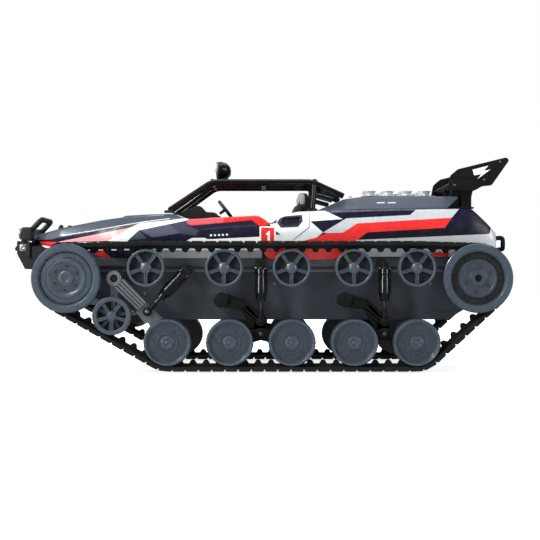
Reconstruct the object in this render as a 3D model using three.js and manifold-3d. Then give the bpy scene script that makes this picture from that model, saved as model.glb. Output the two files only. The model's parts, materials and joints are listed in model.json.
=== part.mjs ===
// 1:12 radio-controlled high-speed tracked vehicle: hull tub, sprung running gear, rubber belts and a car-like body.
// Millimetres, +Z up, front toward -X, left side toward -Y, ground at z = 0, centre plane at y = 0.
// Stations along X are measured from midway between the idler and sprocket axles; the finished group is
// then moved so that the part's origin is on the ground at the middle of its overall length.
import * as THREE from "three";
import { mergeVertices } from "three/addons/utils/BufferGeometryUtils.js";
import { ConvexGeometry } from "three/addons/geometries/ConvexGeometry.js";
import Module from "manifold-3d";

const LENGTH_MIDDLE_X = -12.79;

// Running gear, side view: centres as [x, z].
const IDLER_X = -187;
const SPROCKET_X = 187;
const DRIVE_Z = 85;
const ROAD_FIRST_X = -95.6;
const ROAD_PITCH = 56.9;
const ROAD_Z = 26.3;
const ROAD_R = 21.8;
const ROLLER_Z = 94.5;
const ROLLER_R = 17.3;
const ROLLER_XS = [-115.3, -44, 17.6, 74.5, 132];
const TENSION = [-146.5, 50.6];
const TENSION_R = 17.6;

// Belt: a web on the wheels, with a guide ridge and horns running between the twin discs.
const BELT_IN = 65;
const BELT_OUT = 97;
const WEB = 4;
const RIDGE_H = 2.5;
const HORN_H = 6;
const GUIDE_IN = 77.2;
const GUIDE_OUT = 84.4;
const HORN_PITCH = 12;
const DRUM_R = 27.8;
const FLANGE_R = 31.6;
const RUN_LIFT = 20.5;
const GAP = 0.5;

// Suspension: layers outward from the hull wall, and the pivots of each arm.
const HULL_W = 52;
const WALL = 3;
const ARM_IN = 76.6;
const ARM_OUT = 79.6;
const BEAM_IN = 80.2;
const BEAM_OUT = 84.2;
const PIN_R = 3.2;
const PIN_CLEAR = 0.4;
const EYE_R = 4.2;
const SHOCK_PIN_R = 1.5;
const FRONT_PIVOT = [-145.5, 84.8];
const FRONT_SHOCK_TOP = [-79.3, 91.8];
const FRONT_SHOCK_LOW = [-114.8, 54.2];
const BOGIE_PIVOT_BACK = 36.9;
const BOGIE_PIVOT_Z = 65.2;
const BOGIE_Z = 33.6;
const BOGIE_SHOCK_TOP_Z = 97.7;
const BOGIE_SHOCK_LOW_Z = 45.2;

// Body.
const DECK_Z = 108.5;
const BELLY_Z = 46;
const BODY_GAP = 0.5;
const COCKPIT = { x0: -98, x1: 40, w: 44, z: 112 };
const CAGE_R = 3.1;
const CAGE_W = 35;
const CAGE_Z = 177.5;

const SLATE = 0x46505e;
const HULL_GREY = 0x3a3f4b;
const BLACK = 0x1c1d1f;
const RUBBER = 0x222321;
const NAVY = 0x1a1740;
const ARM_GREY = 0x5a5d62;
const STEEL = 0xb8bcc2;

const wasm = await Module();
wasm.setup();
const group = new THREE.Group();
group.position.x = -LENGTH_MIDDLE_X;

function toSolid(geometry) {
  const bare = geometry.index ? geometry.toNonIndexed() : geometry.clone();
  bare.deleteAttribute("normal");
  bare.deleteAttribute("uv");
  const merged = mergeVertices(bare, 1e-4);
  const source = merged.index.array;
  const kept = [];
  for (let i = 0; i < source.length; i += 3) {
    const [a, b, c] = [source[i], source[i + 1], source[i + 2]];
    if (a !== b && b !== c && a !== c) kept.push(a, b, c);
  }
  const build = (tris) => new wasm.Manifold(new wasm.Mesh({
    numProp: 3,
    vertProperties: merged.attributes.position.array,
    triVerts: new Uint32Array(tris),
  }));
  const made = build(kept);
  if (made.volume() > 0) return made;
  for (let i = 0; i < kept.length; i += 3) [kept[i + 1], kept[i + 2]] = [kept[i + 2], kept[i + 1]];
  return build(kept);
}

function place(name, solid, color, roughness = 0.6, metalness = 0) {
  const mesh = solid.getMesh();
  const corners = new Float32Array(mesh.numVert * 3);
  for (let i = 0; i < mesh.numVert; i++) {
    corners.set(mesh.vertProperties.subarray(i * mesh.numProp, i * mesh.numProp + 3), i * 3);
  }
  const indexed = new THREE.BufferGeometry();
  indexed.setAttribute("position", new THREE.BufferAttribute(corners, 3));
  indexed.setIndex(new THREE.BufferAttribute(new Uint32Array(mesh.triVerts), 1));
  const geometry = indexed.toNonIndexed();
  geometry.computeVertexNormals();
  const made = new THREE.Mesh(geometry, new THREE.MeshStandardMaterial({ color, roughness, metalness }));
  made.name = name;
  group.add(made);
}

const join = (...solids) => solids.reduce((sum, next) => sum.add(next));

function shapeOf(points) {
  return new THREE.Shape(points.map(([a, b]) => new THREE.Vector2(a, b)));
}

// A side-view outline of [x, z] points, made solid from y0 to y1.
function slab(points, y0, y1, hole) {
  const shape = shapeOf(points);
  if (hole) shape.holes.push(shapeOf(hole));
  const geometry = new THREE.ExtrudeGeometry(shape, { depth: Math.abs(y1 - y0), bevelEnabled: false });
  geometry.rotateX(Math.PI / 2);
  geometry.translate(0, Math.max(y0, y1), 0);
  return toSolid(geometry);
}

function box(x0, x1, y0, y1, z0, z1) {
  const geometry = new THREE.BoxGeometry(x1 - x0, Math.abs(y1 - y0), z1 - z0);
  geometry.translate((x0 + x1) / 2, (y0 + y1) / 2, (z0 + z1) / 2);
  return toSolid(geometry);
}

// A round bar along Y from y0 to y1.
function bar([x, z], radius, y0, y1, sides = 10) {
  const geometry = new THREE.CylinderGeometry(radius, radius, Math.abs(y1 - y0), sides);
  geometry.translate(x, (y0 + y1) / 2, z);
  return toSolid(geometry);
}

// A bore along Y whose flats clear the given radius.
function bore(at, radius, y0, y1, sides = 10) {
  return bar(at, radius / Math.cos(Math.PI / sides), y0, y1, sides);
}

// A closed outline of [radius, width] turned about the Y axis through (x, z); side is -1 on the left.
function turned(outline, [x, z], side, segments) {
  const points = [...outline, outline[0]].map(([r, w]) => new THREE.Vector2(r, side * w));
  const geometry = new THREE.LatheGeometry(points, segments);
  geometry.translate(x, 0, z);
  return toSolid(geometry);
}

// A straight limb of round ends between two side-view points.
function limb([x0, z0], [x1, z1], r0, r1, y0, y1, sides = 8) {
  const points = [];
  for (const [cx, cz, r] of [[x0, z0, r0], [x1, z1, r1]]) {
    for (let i = 0; i < sides; i++) {
      const turn = (i / sides) * 2 * Math.PI;
      for (const y of [y0, y1]) {
        points.push(new THREE.Vector3(cx + r * Math.cos(turn), y, cz + r * Math.sin(turn)));
      }
    }
  }
  return toSolid(new ConvexGeometry(points));
}

function block(points) {
  return toSolid(new ConvexGeometry(points.map((p) => new THREE.Vector3(...p))));
}

// Both halves of a block given by its left-side corners.
function mirroredBlock(points) {
  return block([...points, ...points.map(([x, y, z]) => [x, -y, z])]);
}

// A round tube bent through the points.
function tube(points, radius, sides = 6) {
  const solids = [];
  for (let i = 0; i + 1 < points.length; i++) {
    const a = new THREE.Vector3(...points[i]);
    const b = new THREE.Vector3(...points[i + 1]);
    const geometry = new THREE.CylinderGeometry(radius, radius, a.distanceTo(b), sides);
    const turn = new THREE.Quaternion().setFromUnitVectors(
      new THREE.Vector3(0, 1, 0),
      b.clone().sub(a).normalize(),
    );
    geometry.applyQuaternion(turn);
    geometry.translate((a.x + b.x) / 2, (a.y + b.y) / 2, (a.z + b.z) / 2);
    solids.push(toSolid(geometry));
    const knuckle = new THREE.IcosahedronGeometry(radius * 1.08, 0);
    knuckle.translate(b.x, b.y, b.z);
    if (i + 2 < points.length) solids.push(toSolid(knuckle));
  }
  return join(...solids);
}

// Solid through a row of cross-sections, each a ring of [y, z] corners at its own x.
function loft(sections) {
  const corners = [];
  const triangles = [];
  const count = sections[0].ring.length;
  for (const { x, ring } of sections) for (const [y, z] of ring) corners.push(x, y, z);
  for (let s = 0; s + 1 < sections.length; s++) {
    for (let i = 0; i < count; i++) {
      const a = s * count + i;
      const b = s * count + ((i + 1) % count);
      triangles.push(a, b, a + count, b, b + count, a + count);
    }
  }
  const last = (sections.length - 1) * count;
  for (let i = 1; i + 1 < count; i++) {
    triangles.push(0, i + 1, i);
    triangles.push(last, last + i, last + i + 1);
  }
  const geometry = new THREE.BufferGeometry();
  geometry.setAttribute("position", new THREE.Float32BufferAttribute(corners, 3));
  geometry.setIndex(triangles);
  return toSolid(geometry);
}

// A body cross-section: sill, belt line and deck edge as [half width, height], and the crown height.
function bodySection(x, sill, belt, deck, crown) {
  const half = [sill, belt, deck];
  const left = half.map(([w, z]) => [-w, z]);
  const right = half.map(([w, z]) => [w, z]).reverse();
  return { x, ring: [...left, [0, crown], ...right] };
}

// The closed side-view line that runs outside the belt wheels at the given distance. The top run passes level,
// RUN_LIFT above the roller shafts.
function beltLine(offset) {
  const wheels = [
    [IDLER_X, DRIVE_Z, DRUM_R + GAP],
    [ROAD_FIRST_X, ROAD_Z, ROAD_R + GAP],
    [ROAD_FIRST_X + 4 * ROAD_PITCH, ROAD_Z, ROAD_R + GAP],
    [SPROCKET_X, DRIVE_Z, DRUM_R + GAP],
    [ROLLER_XS[4], ROLLER_Z, RUN_LIFT],
    [ROLLER_XS[0], ROLLER_Z, RUN_LIFT],
  ].map(([x, z, r]) => ({ x, z, r: r + offset }));
  const leaving = wheels.map((from, i) => {
    const to = wheels[(i + 1) % wheels.length];
    const heading = Math.atan2(to.z - from.z, to.x - from.x);
    const lean = Math.asin((from.r - to.r) / Math.hypot(to.x - from.x, to.z - from.z));
    return heading - Math.PI / 2 + lean;
  });
  const line = [];
  wheels.forEach((wheel, i) => {
    let start = leaving[(i + wheels.length - 1) % wheels.length];
    const end = leaving[i];
    while (start > end) start -= 2 * Math.PI;
    const steps = Math.max(2, Math.round((end - start) / (Math.PI / 9)));
    for (let k = 0; k <= steps; k++) {
      const turn = start + ((end - start) * k) / steps;
      line.push([wheel.x + wheel.r * Math.cos(turn), wheel.z + wheel.r * Math.sin(turn)]);
    }
  });
  return line;
}

function belt(side) {
  const inner = beltLine(0);
  const web = slab(beltLine(WEB), side * BELT_IN, side * BELT_OUT, inner);
  const ridge = slab(beltLine(1), side * GUIDE_IN, side * GUIDE_OUT, beltLine(-RIDGE_H));
  const line = beltLine(-RIDGE_H + 0.5);
  const lengths = line.map(([x, z], i) => {
    const [nx, nz] = line[(i + 1) % line.length];
    return Math.hypot(nx - x, nz - z);
  });
  const total = lengths.reduce((sum, next) => sum + next);
  const count = Math.round(total / HORN_PITCH);
  const horns = [];
  let leg = 0;
  let before = 0;
  for (let k = 0; k < count; k++) {
    const along = (k * total) / count;
    while (before + lengths[leg] < along) before += lengths[leg++];
    const [x, z] = line[leg];
    const [nx, nz] = line[(leg + 1) % line.length];
    const [ux, uz] = [(nx - x) / lengths[leg], (nz - z) / lengths[leg]];
    const at = (forward, inward, y) => [
      x + ux * (along - before + forward) - uz * inward,
      y,
      z + uz * (along - before + forward) + ux * inward,
    ];
    const corners = [];
    for (const y of [side * (GUIDE_IN + 0.2), side * (GUIDE_OUT - 0.2)]) {
      corners.push(at(-4.2, 0, y), at(4.2, 0, y), at(2, HORN_H + 0.5, y), at(-2, HORN_H + 0.5, y));
    }
    horns.push(block(corners));
  }
  return join(web, ridge, ...horns);
}

// Twin-disc road wheel: dished discs either side of the guide, joined by a slim axle.
function roadWheel(x, side) {
  const outline = [
    [0, 66], [ROAD_R, 66], [ROAD_R, 76], [4, 76], [4, 85.2], [ROAD_R, 85.2], [ROAD_R, 96],
    [18.5, 96], [16.5, 91.5], [7, 91.5], [7, 95], [0, 95],
  ];
  return turned(outline, [x, ROAD_Z], side, 14);
}

// Front idler and rear sprocket: two drums either side of the guide, an outboard flange disc and a shaft.
function drumWheel(x, side, dish) {
  const outline = [
    [0, 46], [4, 46], [4, 66], [DRUM_R, 66], [DRUM_R, 76.6], [18, 76.6], [18, 85], [DRUM_R, 85],
    [DRUM_R, 97.5], [FLANGE_R, 97.5], [FLANGE_R, 101], [24.4, 101], [22.5, 101 - dish],
    [7, 101 - dish], [7, 101], [0, 101],
  ];
  return turned(outline, [x, DRIVE_Z], side, 18);
}

// Five-spoked rim with a hub cap, between two widths: one disc with five windows between the spokes.
function spoked([x, z], radius, rim, w0, w1, side) {
  const circle = (r, from, to, steps) => Array.from({ length: steps + 1 }, (_, i) => {
    const turn = from + ((to - from) * i) / steps;
    return [x + r * Math.cos(turn), z + r * Math.sin(turn)];
  });
  const shape = shapeOf(circle(radius, 0, 2 * Math.PI, 15).slice(1));
  const inner = radius - rim;
  for (let i = 0; i < 5; i++) {
    const middle = -Math.PI / 2 + ((i + 0.5) * 2 * Math.PI) / 5;
    const spread = Math.PI / 5 - 1.6 / inner;
    const root = Math.PI / 5 - 1.8 / 5.2;
    const window = [
      ...circle(inner, middle - spread, middle + spread, 2),
      ...circle(5.2, middle + root, middle - root, 1),
    ];
    shape.holes.push(shapeOf(window));
  }
  const disc = new THREE.ExtrudeGeometry(shape, { depth: w1 - w0, bevelEnabled: false });
  disc.rotateX(Math.PI / 2);
  disc.translate(0, side > 0 ? w1 : -w0, 0);
  return join(toSolid(disc), bar([x, z], 4.6, side * w0, side * (w1 + 1), 8));
}

// Shock cylinder and rod, drawn hanging from the upper eye and then swung toward the lower eye.
function swing(solid, [x0, z0], [x1, z1], y) {
  const angle = (Math.atan2(x1 - x0, z0 - z1) * -180) / Math.PI;
  return solid.rotate([0, angle, 0]).translate([x0, y, z0]);
}

function shockBody(top, low, side) {
  const tubeOutline = [
    [0, -3.6], [6.2, -3.6], [6.2, -27], [4.4, -31], [4.4, -34], [2.2, -34], [2.2, -9], [0, -9],
  ];
  const cylinder = turned(tubeOutline, [0, 0], 1, 8).rotate([90, 0, 0]);
  const eye = bar([0, 0], EYE_R, -2, 2, 8);
  const hole = bore([0, 0], SHOCK_PIN_R + PIN_CLEAR, -9, 9, 8);
  return swing(join(cylinder, eye).subtract(hole), top, low, (side * (BEAM_IN + BEAM_OUT)) / 2);
}

function shockRod(top, low, side) {
  const length = Math.hypot(low[0] - top[0], low[1] - top[1]);
  const boot = [[0, -17], [1.5, -17], [1.5, -40], [2.4, -41], [2.4, -length + 2], [0, -length + 2]];
  const rod = turned(boot, [0, 0], 1, 6);
  const eye = bar([0, -length], EYE_R, -2, 2, 8);
  const hole = bore([0, -length], SHOCK_PIN_R + 0.7, -9, 9, 8);
  const made = join(rod.rotate([90, 0, 0]), eye).subtract(hole);
  return swing(made, top, low, (side * (BEAM_IN + BEAM_OUT)) / 2);
}

const bogieCentres = [1.5, 3.5].map((n) => ROAD_FIRST_X + n * ROAD_PITCH);
const sides = [["left", -1], ["right", 1]];

// Hull: a tub of side plates and floor, with the fixed pivot posts of both sides.
const hullOutline = [
  [-206, DECK_Z], [-206, 72], [-168, 66], [-104, BELLY_Z], [167, BELLY_Z], [181, 55], [206, 66],
  [206, DECK_Z],
];
const hullInside = [
  [-203, DECK_Z + 5], [-203, 74.5], [-167.5, 69], [-103, BELLY_Z + WALL], [166, BELLY_Z + WALL],
  [179.5, 58], [203, 68], [203, DECK_Z + 5],
];
let hull = slab(hullOutline, -HULL_W, HULL_W).subtract(slab(hullInside, WALL - HULL_W, HULL_W - WALL));
for (const [, side] of sides) {
  const posts = [FRONT_PIVOT, ...bogieCentres.map((x) => [x - BOGIE_PIVOT_BACK, BOGIE_PIVOT_Z])];
  for (const post of posts) {
    hull = join(
      hull,
      bar(post, 5.6, side * (HULL_W - 1), side * (ARM_IN - 0.6), 8),
      bar(post, PIN_R, side * (HULL_W - 1), side * BEAM_OUT, 8),
    );
  }
  for (const eye of [FRONT_SHOCK_TOP, ...bogieCentres.map((x) => [x, BOGIE_SHOCK_TOP_Z])]) {
    hull = join(
      hull,
      bar(eye, 3.4, side * (HULL_W - 1), side * (BEAM_IN - 2.4), 6),
      bar(eye, SHOCK_PIN_R, side * (HULL_W - 1), side * (BEAM_OUT + 0.2), 6),
    );
  }
}
for (const x of [IDLER_X, SPROCKET_X]) hull = hull.subtract(bore([x, DRIVE_Z], 4.4, -HULL_W - 1, HULL_W + 1));
for (const x of ROLLER_XS) hull = hull.subtract(bore([x, ROLLER_Z], 2.6, -HULL_W - 1, HULL_W + 1, 8));
place("hull_tub", hull, HULL_GREY, 0.55, 0.1);

for (const [label, side] of sides) {
  place(`track_${label}`, belt(side), RUBBER, 0.85);
  place(`idler_${label}`, drumWheel(IDLER_X, side, 4), SLATE, 0.5);
  place(`sprocket_${label}`, drumWheel(SPROCKET_X, side, 6), SLATE, 0.5);
  for (let n = 0; n < 5; n++) {
    place(`road_wheel_${label}_${n + 1}`, roadWheel(ROAD_FIRST_X + n * ROAD_PITCH, side), SLATE, 0.5);
  }
  const tensionShaft = bar(TENSION, 2.2, side * 75, side * 88, 8);
  const tensionWheel = spoked(TENSION, TENSION_R, 4.4, 86, 95.5, side);
  place(`tension_wheel_${label}`, join(tensionWheel, tensionShaft), SLATE, 0.5);

  // Front trailing arm: one limb to road wheel 1, a shorter one to the tension wheel.
  const firstWheel = [ROAD_FIRST_X, ROAD_Z];
  const frontArm = join(
    limb(FRONT_PIVOT, FRONT_SHOCK_LOW, 7, 5.6, side * ARM_IN, side * ARM_OUT),
    limb(FRONT_SHOCK_LOW, firstWheel, 5.6, 7, side * ARM_IN, side * ARM_OUT),
    limb(FRONT_PIVOT, TENSION, 5.5, 4.5, side * ARM_IN, side * ARM_OUT),
    bar(FRONT_PIVOT, 7, side * ARM_IN, side * BEAM_OUT),
    bar(firstWheel, 7, side * ARM_IN, side * BEAM_OUT),
    bar(FRONT_SHOCK_LOW, SHOCK_PIN_R, side * ARM_IN, side * (BEAM_OUT + 0.2), 6),
  )
    .subtract(bore(FRONT_PIVOT, PIN_R + PIN_CLEAR, side * 70, side * 90, 8))
    .subtract(bore(firstWheel, 4.4, side * 70, side * 90))
    .subtract(bore(TENSION, 2.6, side * 70, side * 90, 8));
  place(`front_arm_${label}`, frontArm, ARM_GREY, 0.6);
  place(`shock_body_${label}_1`, shockBody(FRONT_SHOCK_TOP, FRONT_SHOCK_LOW, side), BLACK, 0.25, 0.2);
  place(`shock_rod_${label}_1`, shockRod(FRONT_SHOCK_TOP, FRONT_SHOCK_LOW, side), STEEL, 0.3, 0.8);

  bogieCentres.forEach((x, n) => {
    const pivot = [x - BOGIE_PIVOT_BACK, BOGIE_PIVOT_Z];
    const elbow = [x - 17.8, 61];
    const shockTop = [x, BOGIE_SHOCK_TOP_Z];
    const shockLow = [x, BOGIE_SHOCK_LOW_Z];
    const beamCentre = [x, BOGIE_Z];
    const arm = join(
      limb(pivot, elbow, 7, 5, side * ARM_IN, side * ARM_OUT),
      limb(elbow, shockLow, 5, 5, side * ARM_IN, side * ARM_OUT),
      limb(shockLow, beamCentre, 5, 5, side * ARM_IN, side * ARM_OUT),
      bar(pivot, 7, side * ARM_IN, side * BEAM_OUT),
      bar(shockLow, SHOCK_PIN_R, side * ARM_IN, side * (BEAM_OUT + 0.2), 6),
      bar(beamCentre, 2.6, side * ARM_IN, side * (BEAM_OUT + 0.2), 8),
    ).subtract(bore(pivot, PIN_R + PIN_CLEAR, side * 70, side * 90, 8));
    place(`bogie_arm_${label}_${n + 1}`, arm, BLACK, 0.5);
    const ends = [x - ROAD_PITCH / 2, x + ROAD_PITCH / 2].map((ex) => [ex, ROAD_Z]);
    const beam = join(
      limb(ends[0], beamCentre, 6.4, 5.4, side * BEAM_IN, side * BEAM_OUT),
      limb(beamCentre, ends[1], 5.4, 6.4, side * BEAM_IN, side * BEAM_OUT),
    )
      .subtract(bore(beamCentre, 3, side * 70, side * 90, 8))
      .subtract(bore(ends[0], 4.4, side * 70, side * 90))
      .subtract(bore(ends[1], 4.4, side * 70, side * 90));
    place(`bogie_beam_${label}_${n + 1}`, beam, BLACK, 0.5);
    place(`shock_body_${label}_${n + 2}`, shockBody(shockTop, shockLow, side), BLACK, 0.25, 0.2);
    place(`shock_rod_${label}_${n + 2}`, shockRod(shockTop, shockLow, side), STEEL, 0.3, 0.8);
  });
}

// Return rollers: a spoked wheel each side on one shaft through the hull.
ROLLER_XS.forEach((x, n) => {
  const set = join(
    bar([x, ROLLER_Z], 2.2, -88, 88, 8),
    spoked([x, ROLLER_Z], ROLLER_R, 2.4, 86.4, 96, -1),
    spoked([x, ROLLER_Z], ROLLER_R, 2.4, 86.4, 96, 1),
  );
  place(`return_rollers_${n + 1}`, set, SLATE, 0.5);
});

// Body shell: nose, hood, cockpit sides, engine deck and tail in one moulding, hollow underneath.
const bottom = DECK_Z + BODY_GAP;
const bodySections = [
  bodySection(-232, [14, 121.5], [16, 124], [15, 127], 127.8),
  bodySection(-203, [38, 116], [42, 125], [36, 133], 134.5),
  bodySection(-165, [50, 111], [54, 128], [44, 139.6], 142),
  bodySection(-145, [57, bottom], [60, 130], [47, 142.6], 145),
  bodySection(-100, [60, bottom], [62, 132], [50, 144.4], 147.4),
  bodySection(-80, [60, bottom], [62, 133], [54, 139], 139.5),
  bodySection(-12, [60, bottom], [62, 133], [52, 144.5], 145),
  bodySection(-2, [60, bottom], [62, 131], [52, 136.5], 137),
  bodySection(8, [60, bottom], [62, 131], [50, 143.5], 144),
  bodySection(24, [60, bottom], [62, 131], [48, 148.3], 149),
  bodySection(44, [60, bottom], [61, 131], [46, 149], 149.6),
  bodySection(189, [57, bottom], [57, 133], [44, 152], 152.5),
  bodySection(207, [55, bottom + 4], [55, 127], [50, 134], 134.5),
  bodySection(211.5, [54, bottom + 6], [54, 120], [52, 127], 127.5),
];
let body = loft(bodySections);
body = body.subtract(box(COCKPIT.x0, COCKPIT.x1, -COCKPIT.w, COCKPIT.w, COCKPIT.z, 170));
body = body.subtract(box(-150, -104, -42, 42, 100, 134));
body = body.subtract(box(48, 178, -40, 40, 100, 145));
place("body_shell", body, NAVY, 0.3);

const coverSections = [
  { x: 44, top: [30, 150.8], base: [38, 150.3] },
  { x: 69, top: [30, 161.7], base: [39, 151] },
  { x: 84, top: [30, 163.8], base: [39, 151.2] },
  { x: 168, top: [30, 164.4], base: [38, 152.6] },
  { x: 179, top: [30, 164.4], base: [32, 163] },
].map(({ x, top, base }) => ({
  x,
  ring: [[-base[0], 0], [-base[0], 0], [-top[0], 0], [top[0], 0], [base[0], 0], [base[0], 0]].map(
    ([y], i) => [y, i === 2 || i === 3 ? top[1] : base[1] + (i === 1 || i === 4 ? 0.3 : 0)],
  ),
}));
const coverFoot = (x) => 149.9 + ((x - 44) * 3) / 145 + 0.3;
const cover = loft(coverSections.map(({ x, ring }) => ({
  x,
  ring: ring.map(([y, z], i) => [y, i === 0 || i === 5 ? (x > 170 ? z : coverFoot(x)) : z]),
})));
place("engine_cover", cover, SLATE, 0.4);

// Intake stacks: two rows of four on a common plate.
let stacks = box(88, 160, -14, 14, 164.8, 166);
for (const y of [-9, 9]) {
  for (let n = 0; n < 4; n++) {
    const trumpet = new THREE.CylinderGeometry(6.4, 5.2, 5.5, 10);
    stacks = stacks.add(toSolid(trumpet).rotate([90, 0, 0]).translate([96.3 + n * 17.9, y, 168]));
  }
}
place("intake_stacks", stacks, 0xd8dade, 0.1, 1);

// Cockpit tub: floor, dash and two moulded seats.
const cockpit = join(
  box(-97, 39, -43, 43, 112.5, 115),
  mirroredBlock([[-97, -43, 114], [-64, -43, 114], [-97, -43, 146], [-76, -43, 148], [-64, -40, 142]]),
  ...[-19, 19].flatMap((y) => [
    block([
      [-30, y - 15, 114], [-30, y + 15, 114], [20, y - 15, 114], [20, y + 15, 114],
      [-30, y - 14, 126], [-30, y + 14, 126], [12, y - 14, 123], [12, y + 14, 123],
    ]),
    block([
      [8, y - 15, 114], [8, y + 15, 114], [22, y - 15, 114], [22, y + 15, 114],
      [22, y - 13, 154], [22, y + 13, 154], [33, y - 13, 154], [33, y + 13, 154],
    ]),
    block([
      [23, y - 8, 153], [23, y + 8, 153], [33, y - 8, 153], [33, y + 8, 153],
      [26, y - 7, 168], [26, y + 7, 168], [35, y - 7, 168], [35, y + 7, 168],
    ]),
  ]),
);
place("cockpit_tub", cockpit, BLACK, 0.6);

// Steering wheel: a rim with three spokes on a short column, tilted back toward the driver.
const WHEEL_AT = [-45.5, -19, 152.3];
const WHEEL_TILT = 51.9;
const rim = turned([[8, -1.3], [10, -1.3], [10, 1.3], [8, 1.3]], [0, 0], 1, 14).rotate([90, 0, 0]);
let wheel = join(rim, bar([0, 0], 2.4, -7, 1.2, 8).rotate([90, 0, 0]));
for (const turn of [90, 210, 330]) {
  wheel = wheel.add(box(1, 8.6, -0.9, 0.9, -0.7, 0.7).rotate([0, 0, turn]));
}
place("steering_wheel", wheel.rotate([0, WHEEL_TILT, 0]).translate(WHEEL_AT), BLACK, 0.5);

// Roll cage: two side frames of one tube each, cross tubes and rear braces.
const cageParts = [];
for (const side of [-1, 1]) {
  const w = side * CAGE_W;
  cageParts.push(
    tube([[-98, side * 46, 149.2], [-57.5, w, CAGE_Z], [41, w, CAGE_Z], [38.5, side * 37, 151.8]], CAGE_R),
    tube([[40, w, CAGE_Z], [69, side * 34.5, 166]], CAGE_R),
    tube([[40.5, side * 36, 165], [58, side * 34.5, 160.6]], CAGE_R * 0.8),
  );
}
cageParts.push(
  tube([[-57.5, -CAGE_W, CAGE_Z], [-57.5, CAGE_W, CAGE_Z]], CAGE_R),
  tube([[41, -CAGE_W, CAGE_Z], [41, CAGE_W, CAGE_Z]], CAGE_R),
  tube([[-8, -CAGE_W, CAGE_Z], [-8, CAGE_W, CAGE_Z]], CAGE_R),
);
place("roll_cage", join(...cageParts), BLACK, 0.2);

const light = join(
  block([
    [-54, -17, 184], [-54, 17, 184], [-54, -17, 200], [-54, 17, 200],
    [-41, -14, 186], [-41, 14, 186], [-41, -14, 198], [-41, 14, 198],
  ]),
  box(-52, -46, -12, 12, 181, 186),
);
place("roof_light", light, BLACK, 0.3);

// Front bumper: skid wedge with its bracket plate; winch box and fairlead above it; hoop and lamp housings.
const bumper = join(
  mirroredBlock([[-248, -26, 109.7], [-240, -26, 94.5], [-206.6, -26, 94.5], [-206.6, -26, 106], [-238, -26, 110]]),
  box(-237, -234, -30, 30, 106, 120),
);
place("front_bumper", bumper, BLACK, 0.5);
const winch = join(
  box(-247.5, -237.5, -22, 22, 111, 121),
  ...[-6, 6].map((y) => box(-254, -247, y - 1.5, y + 1.5, 112, 117)),
);
place("winch", winch, STEEL, 0.35, 0.8);
const hoop = join(
  tube([
    [-241, -24, 124], [-224, -24, 142.2], [-224, 24, 142.2], [-241, 24, 124],
  ], 2.7),
  ...[-24, 24].map((y) => box(-242.6, -232, y - 6.5, y + 6.5, 121.4, 134.6)),
);
place("bull_bar", hoop, BLACK, 0.3);

// Rear wing: two end plates, two blades between them and the tower on the engine deck.
const plate = [
  [168.2, 182.1], [175.4, 188.1], [221.2, 199.3], [224, 196.5], [207.3, 172.7], [198.3, 171.8],
  [190.5, 167.4], [165.2, 168],
];
const tower = [[181, 153.2], [194, 153.2], [196, 178], [174, 178], [174, 166], [181, 165.5]];
const wing = join(
  slab(plate, -57, -54.5),
  slab(plate, 54.5, 57),
  slab([[168, 174], [172, 178], [196, 181], [204, 184], [204, 181.5], [196, 177]], -55, 55),
  slab([[200, 186], [218, 196], [220, 194.5], [203, 184]], -55, 55),
  ...[-20, 20].map((y) => slab(tower, y - 5, y + 5)),
);
place("rear_wing", wing, BLACK, 0.3);

const towLoop = join(
  box(212, 215, -31, 31, 119, 127),
  tube([
    [213.5, -28, 123.5], [226.4, -28, 123.5], [226.4, -28, 113], [226.4, 28, 113], [226.4, 28, 123.5],
    [213.5, 28, 123.5],
  ], 2.2),
);
place("rear_tow_loop", towLoop, BLACK, 0.4);

// Inside the hull: twin-motor gearbox at the rear and the battery tray on the floor.
const gearbox = join(
  box(160, 202, -44, 44, 71, 102),
  ...[-20, 20].map((y) => toSolid(new THREE.CylinderGeometry(13, 13, 42, 14).rotateZ(Math.PI / 2)
    .translate(142, y, 74))),
);
place("gearbox_pack", gearbox, ARM_GREY, 0.6);
place("battery_pack", box(-60, 60, -24, 24, BELLY_Z + WALL + 0.4, 74), 0x2c4f7a, 0.6);

export default group;
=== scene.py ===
import json
import math

import bmesh
import bpy
from mathutils import Matrix, Vector
from mathutils.bvhtree import BVHTree


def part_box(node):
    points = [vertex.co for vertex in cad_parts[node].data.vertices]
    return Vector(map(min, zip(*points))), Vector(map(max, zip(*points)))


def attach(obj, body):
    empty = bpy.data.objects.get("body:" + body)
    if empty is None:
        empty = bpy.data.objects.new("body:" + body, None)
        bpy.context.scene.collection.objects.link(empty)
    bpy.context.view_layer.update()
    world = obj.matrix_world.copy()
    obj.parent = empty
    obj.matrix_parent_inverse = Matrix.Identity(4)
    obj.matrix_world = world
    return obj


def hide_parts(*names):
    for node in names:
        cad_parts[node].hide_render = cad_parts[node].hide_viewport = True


# Looks for a 1:12 tracked vehicle. Shapes are written in millimetres, and become metres when a piece is made.
# x is measured from midway between the idler and sprocket axles, y from the centre plane, z from the ground.
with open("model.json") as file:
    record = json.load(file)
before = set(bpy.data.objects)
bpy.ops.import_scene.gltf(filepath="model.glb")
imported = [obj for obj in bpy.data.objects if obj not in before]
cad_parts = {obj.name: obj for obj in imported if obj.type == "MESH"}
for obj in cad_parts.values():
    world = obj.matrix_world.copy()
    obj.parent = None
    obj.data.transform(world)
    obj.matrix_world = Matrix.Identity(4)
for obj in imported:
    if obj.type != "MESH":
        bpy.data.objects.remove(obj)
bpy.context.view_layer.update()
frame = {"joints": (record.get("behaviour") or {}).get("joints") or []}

MM = 0.001
SIDES = (("left", -1), ("right", 1))
UP, FORWARD, BACK = (0, 0, 1), (-1, 0, 0), (1, 0, 0)
JOINTS = {joint["name"]: joint for joint in frame["joints"]}


def middle(node):
    low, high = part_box(node)
    return (low + high) / 2


AXLES_X = (middle("idler_left").x + middle("sprocket_left").x) / 2


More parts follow.
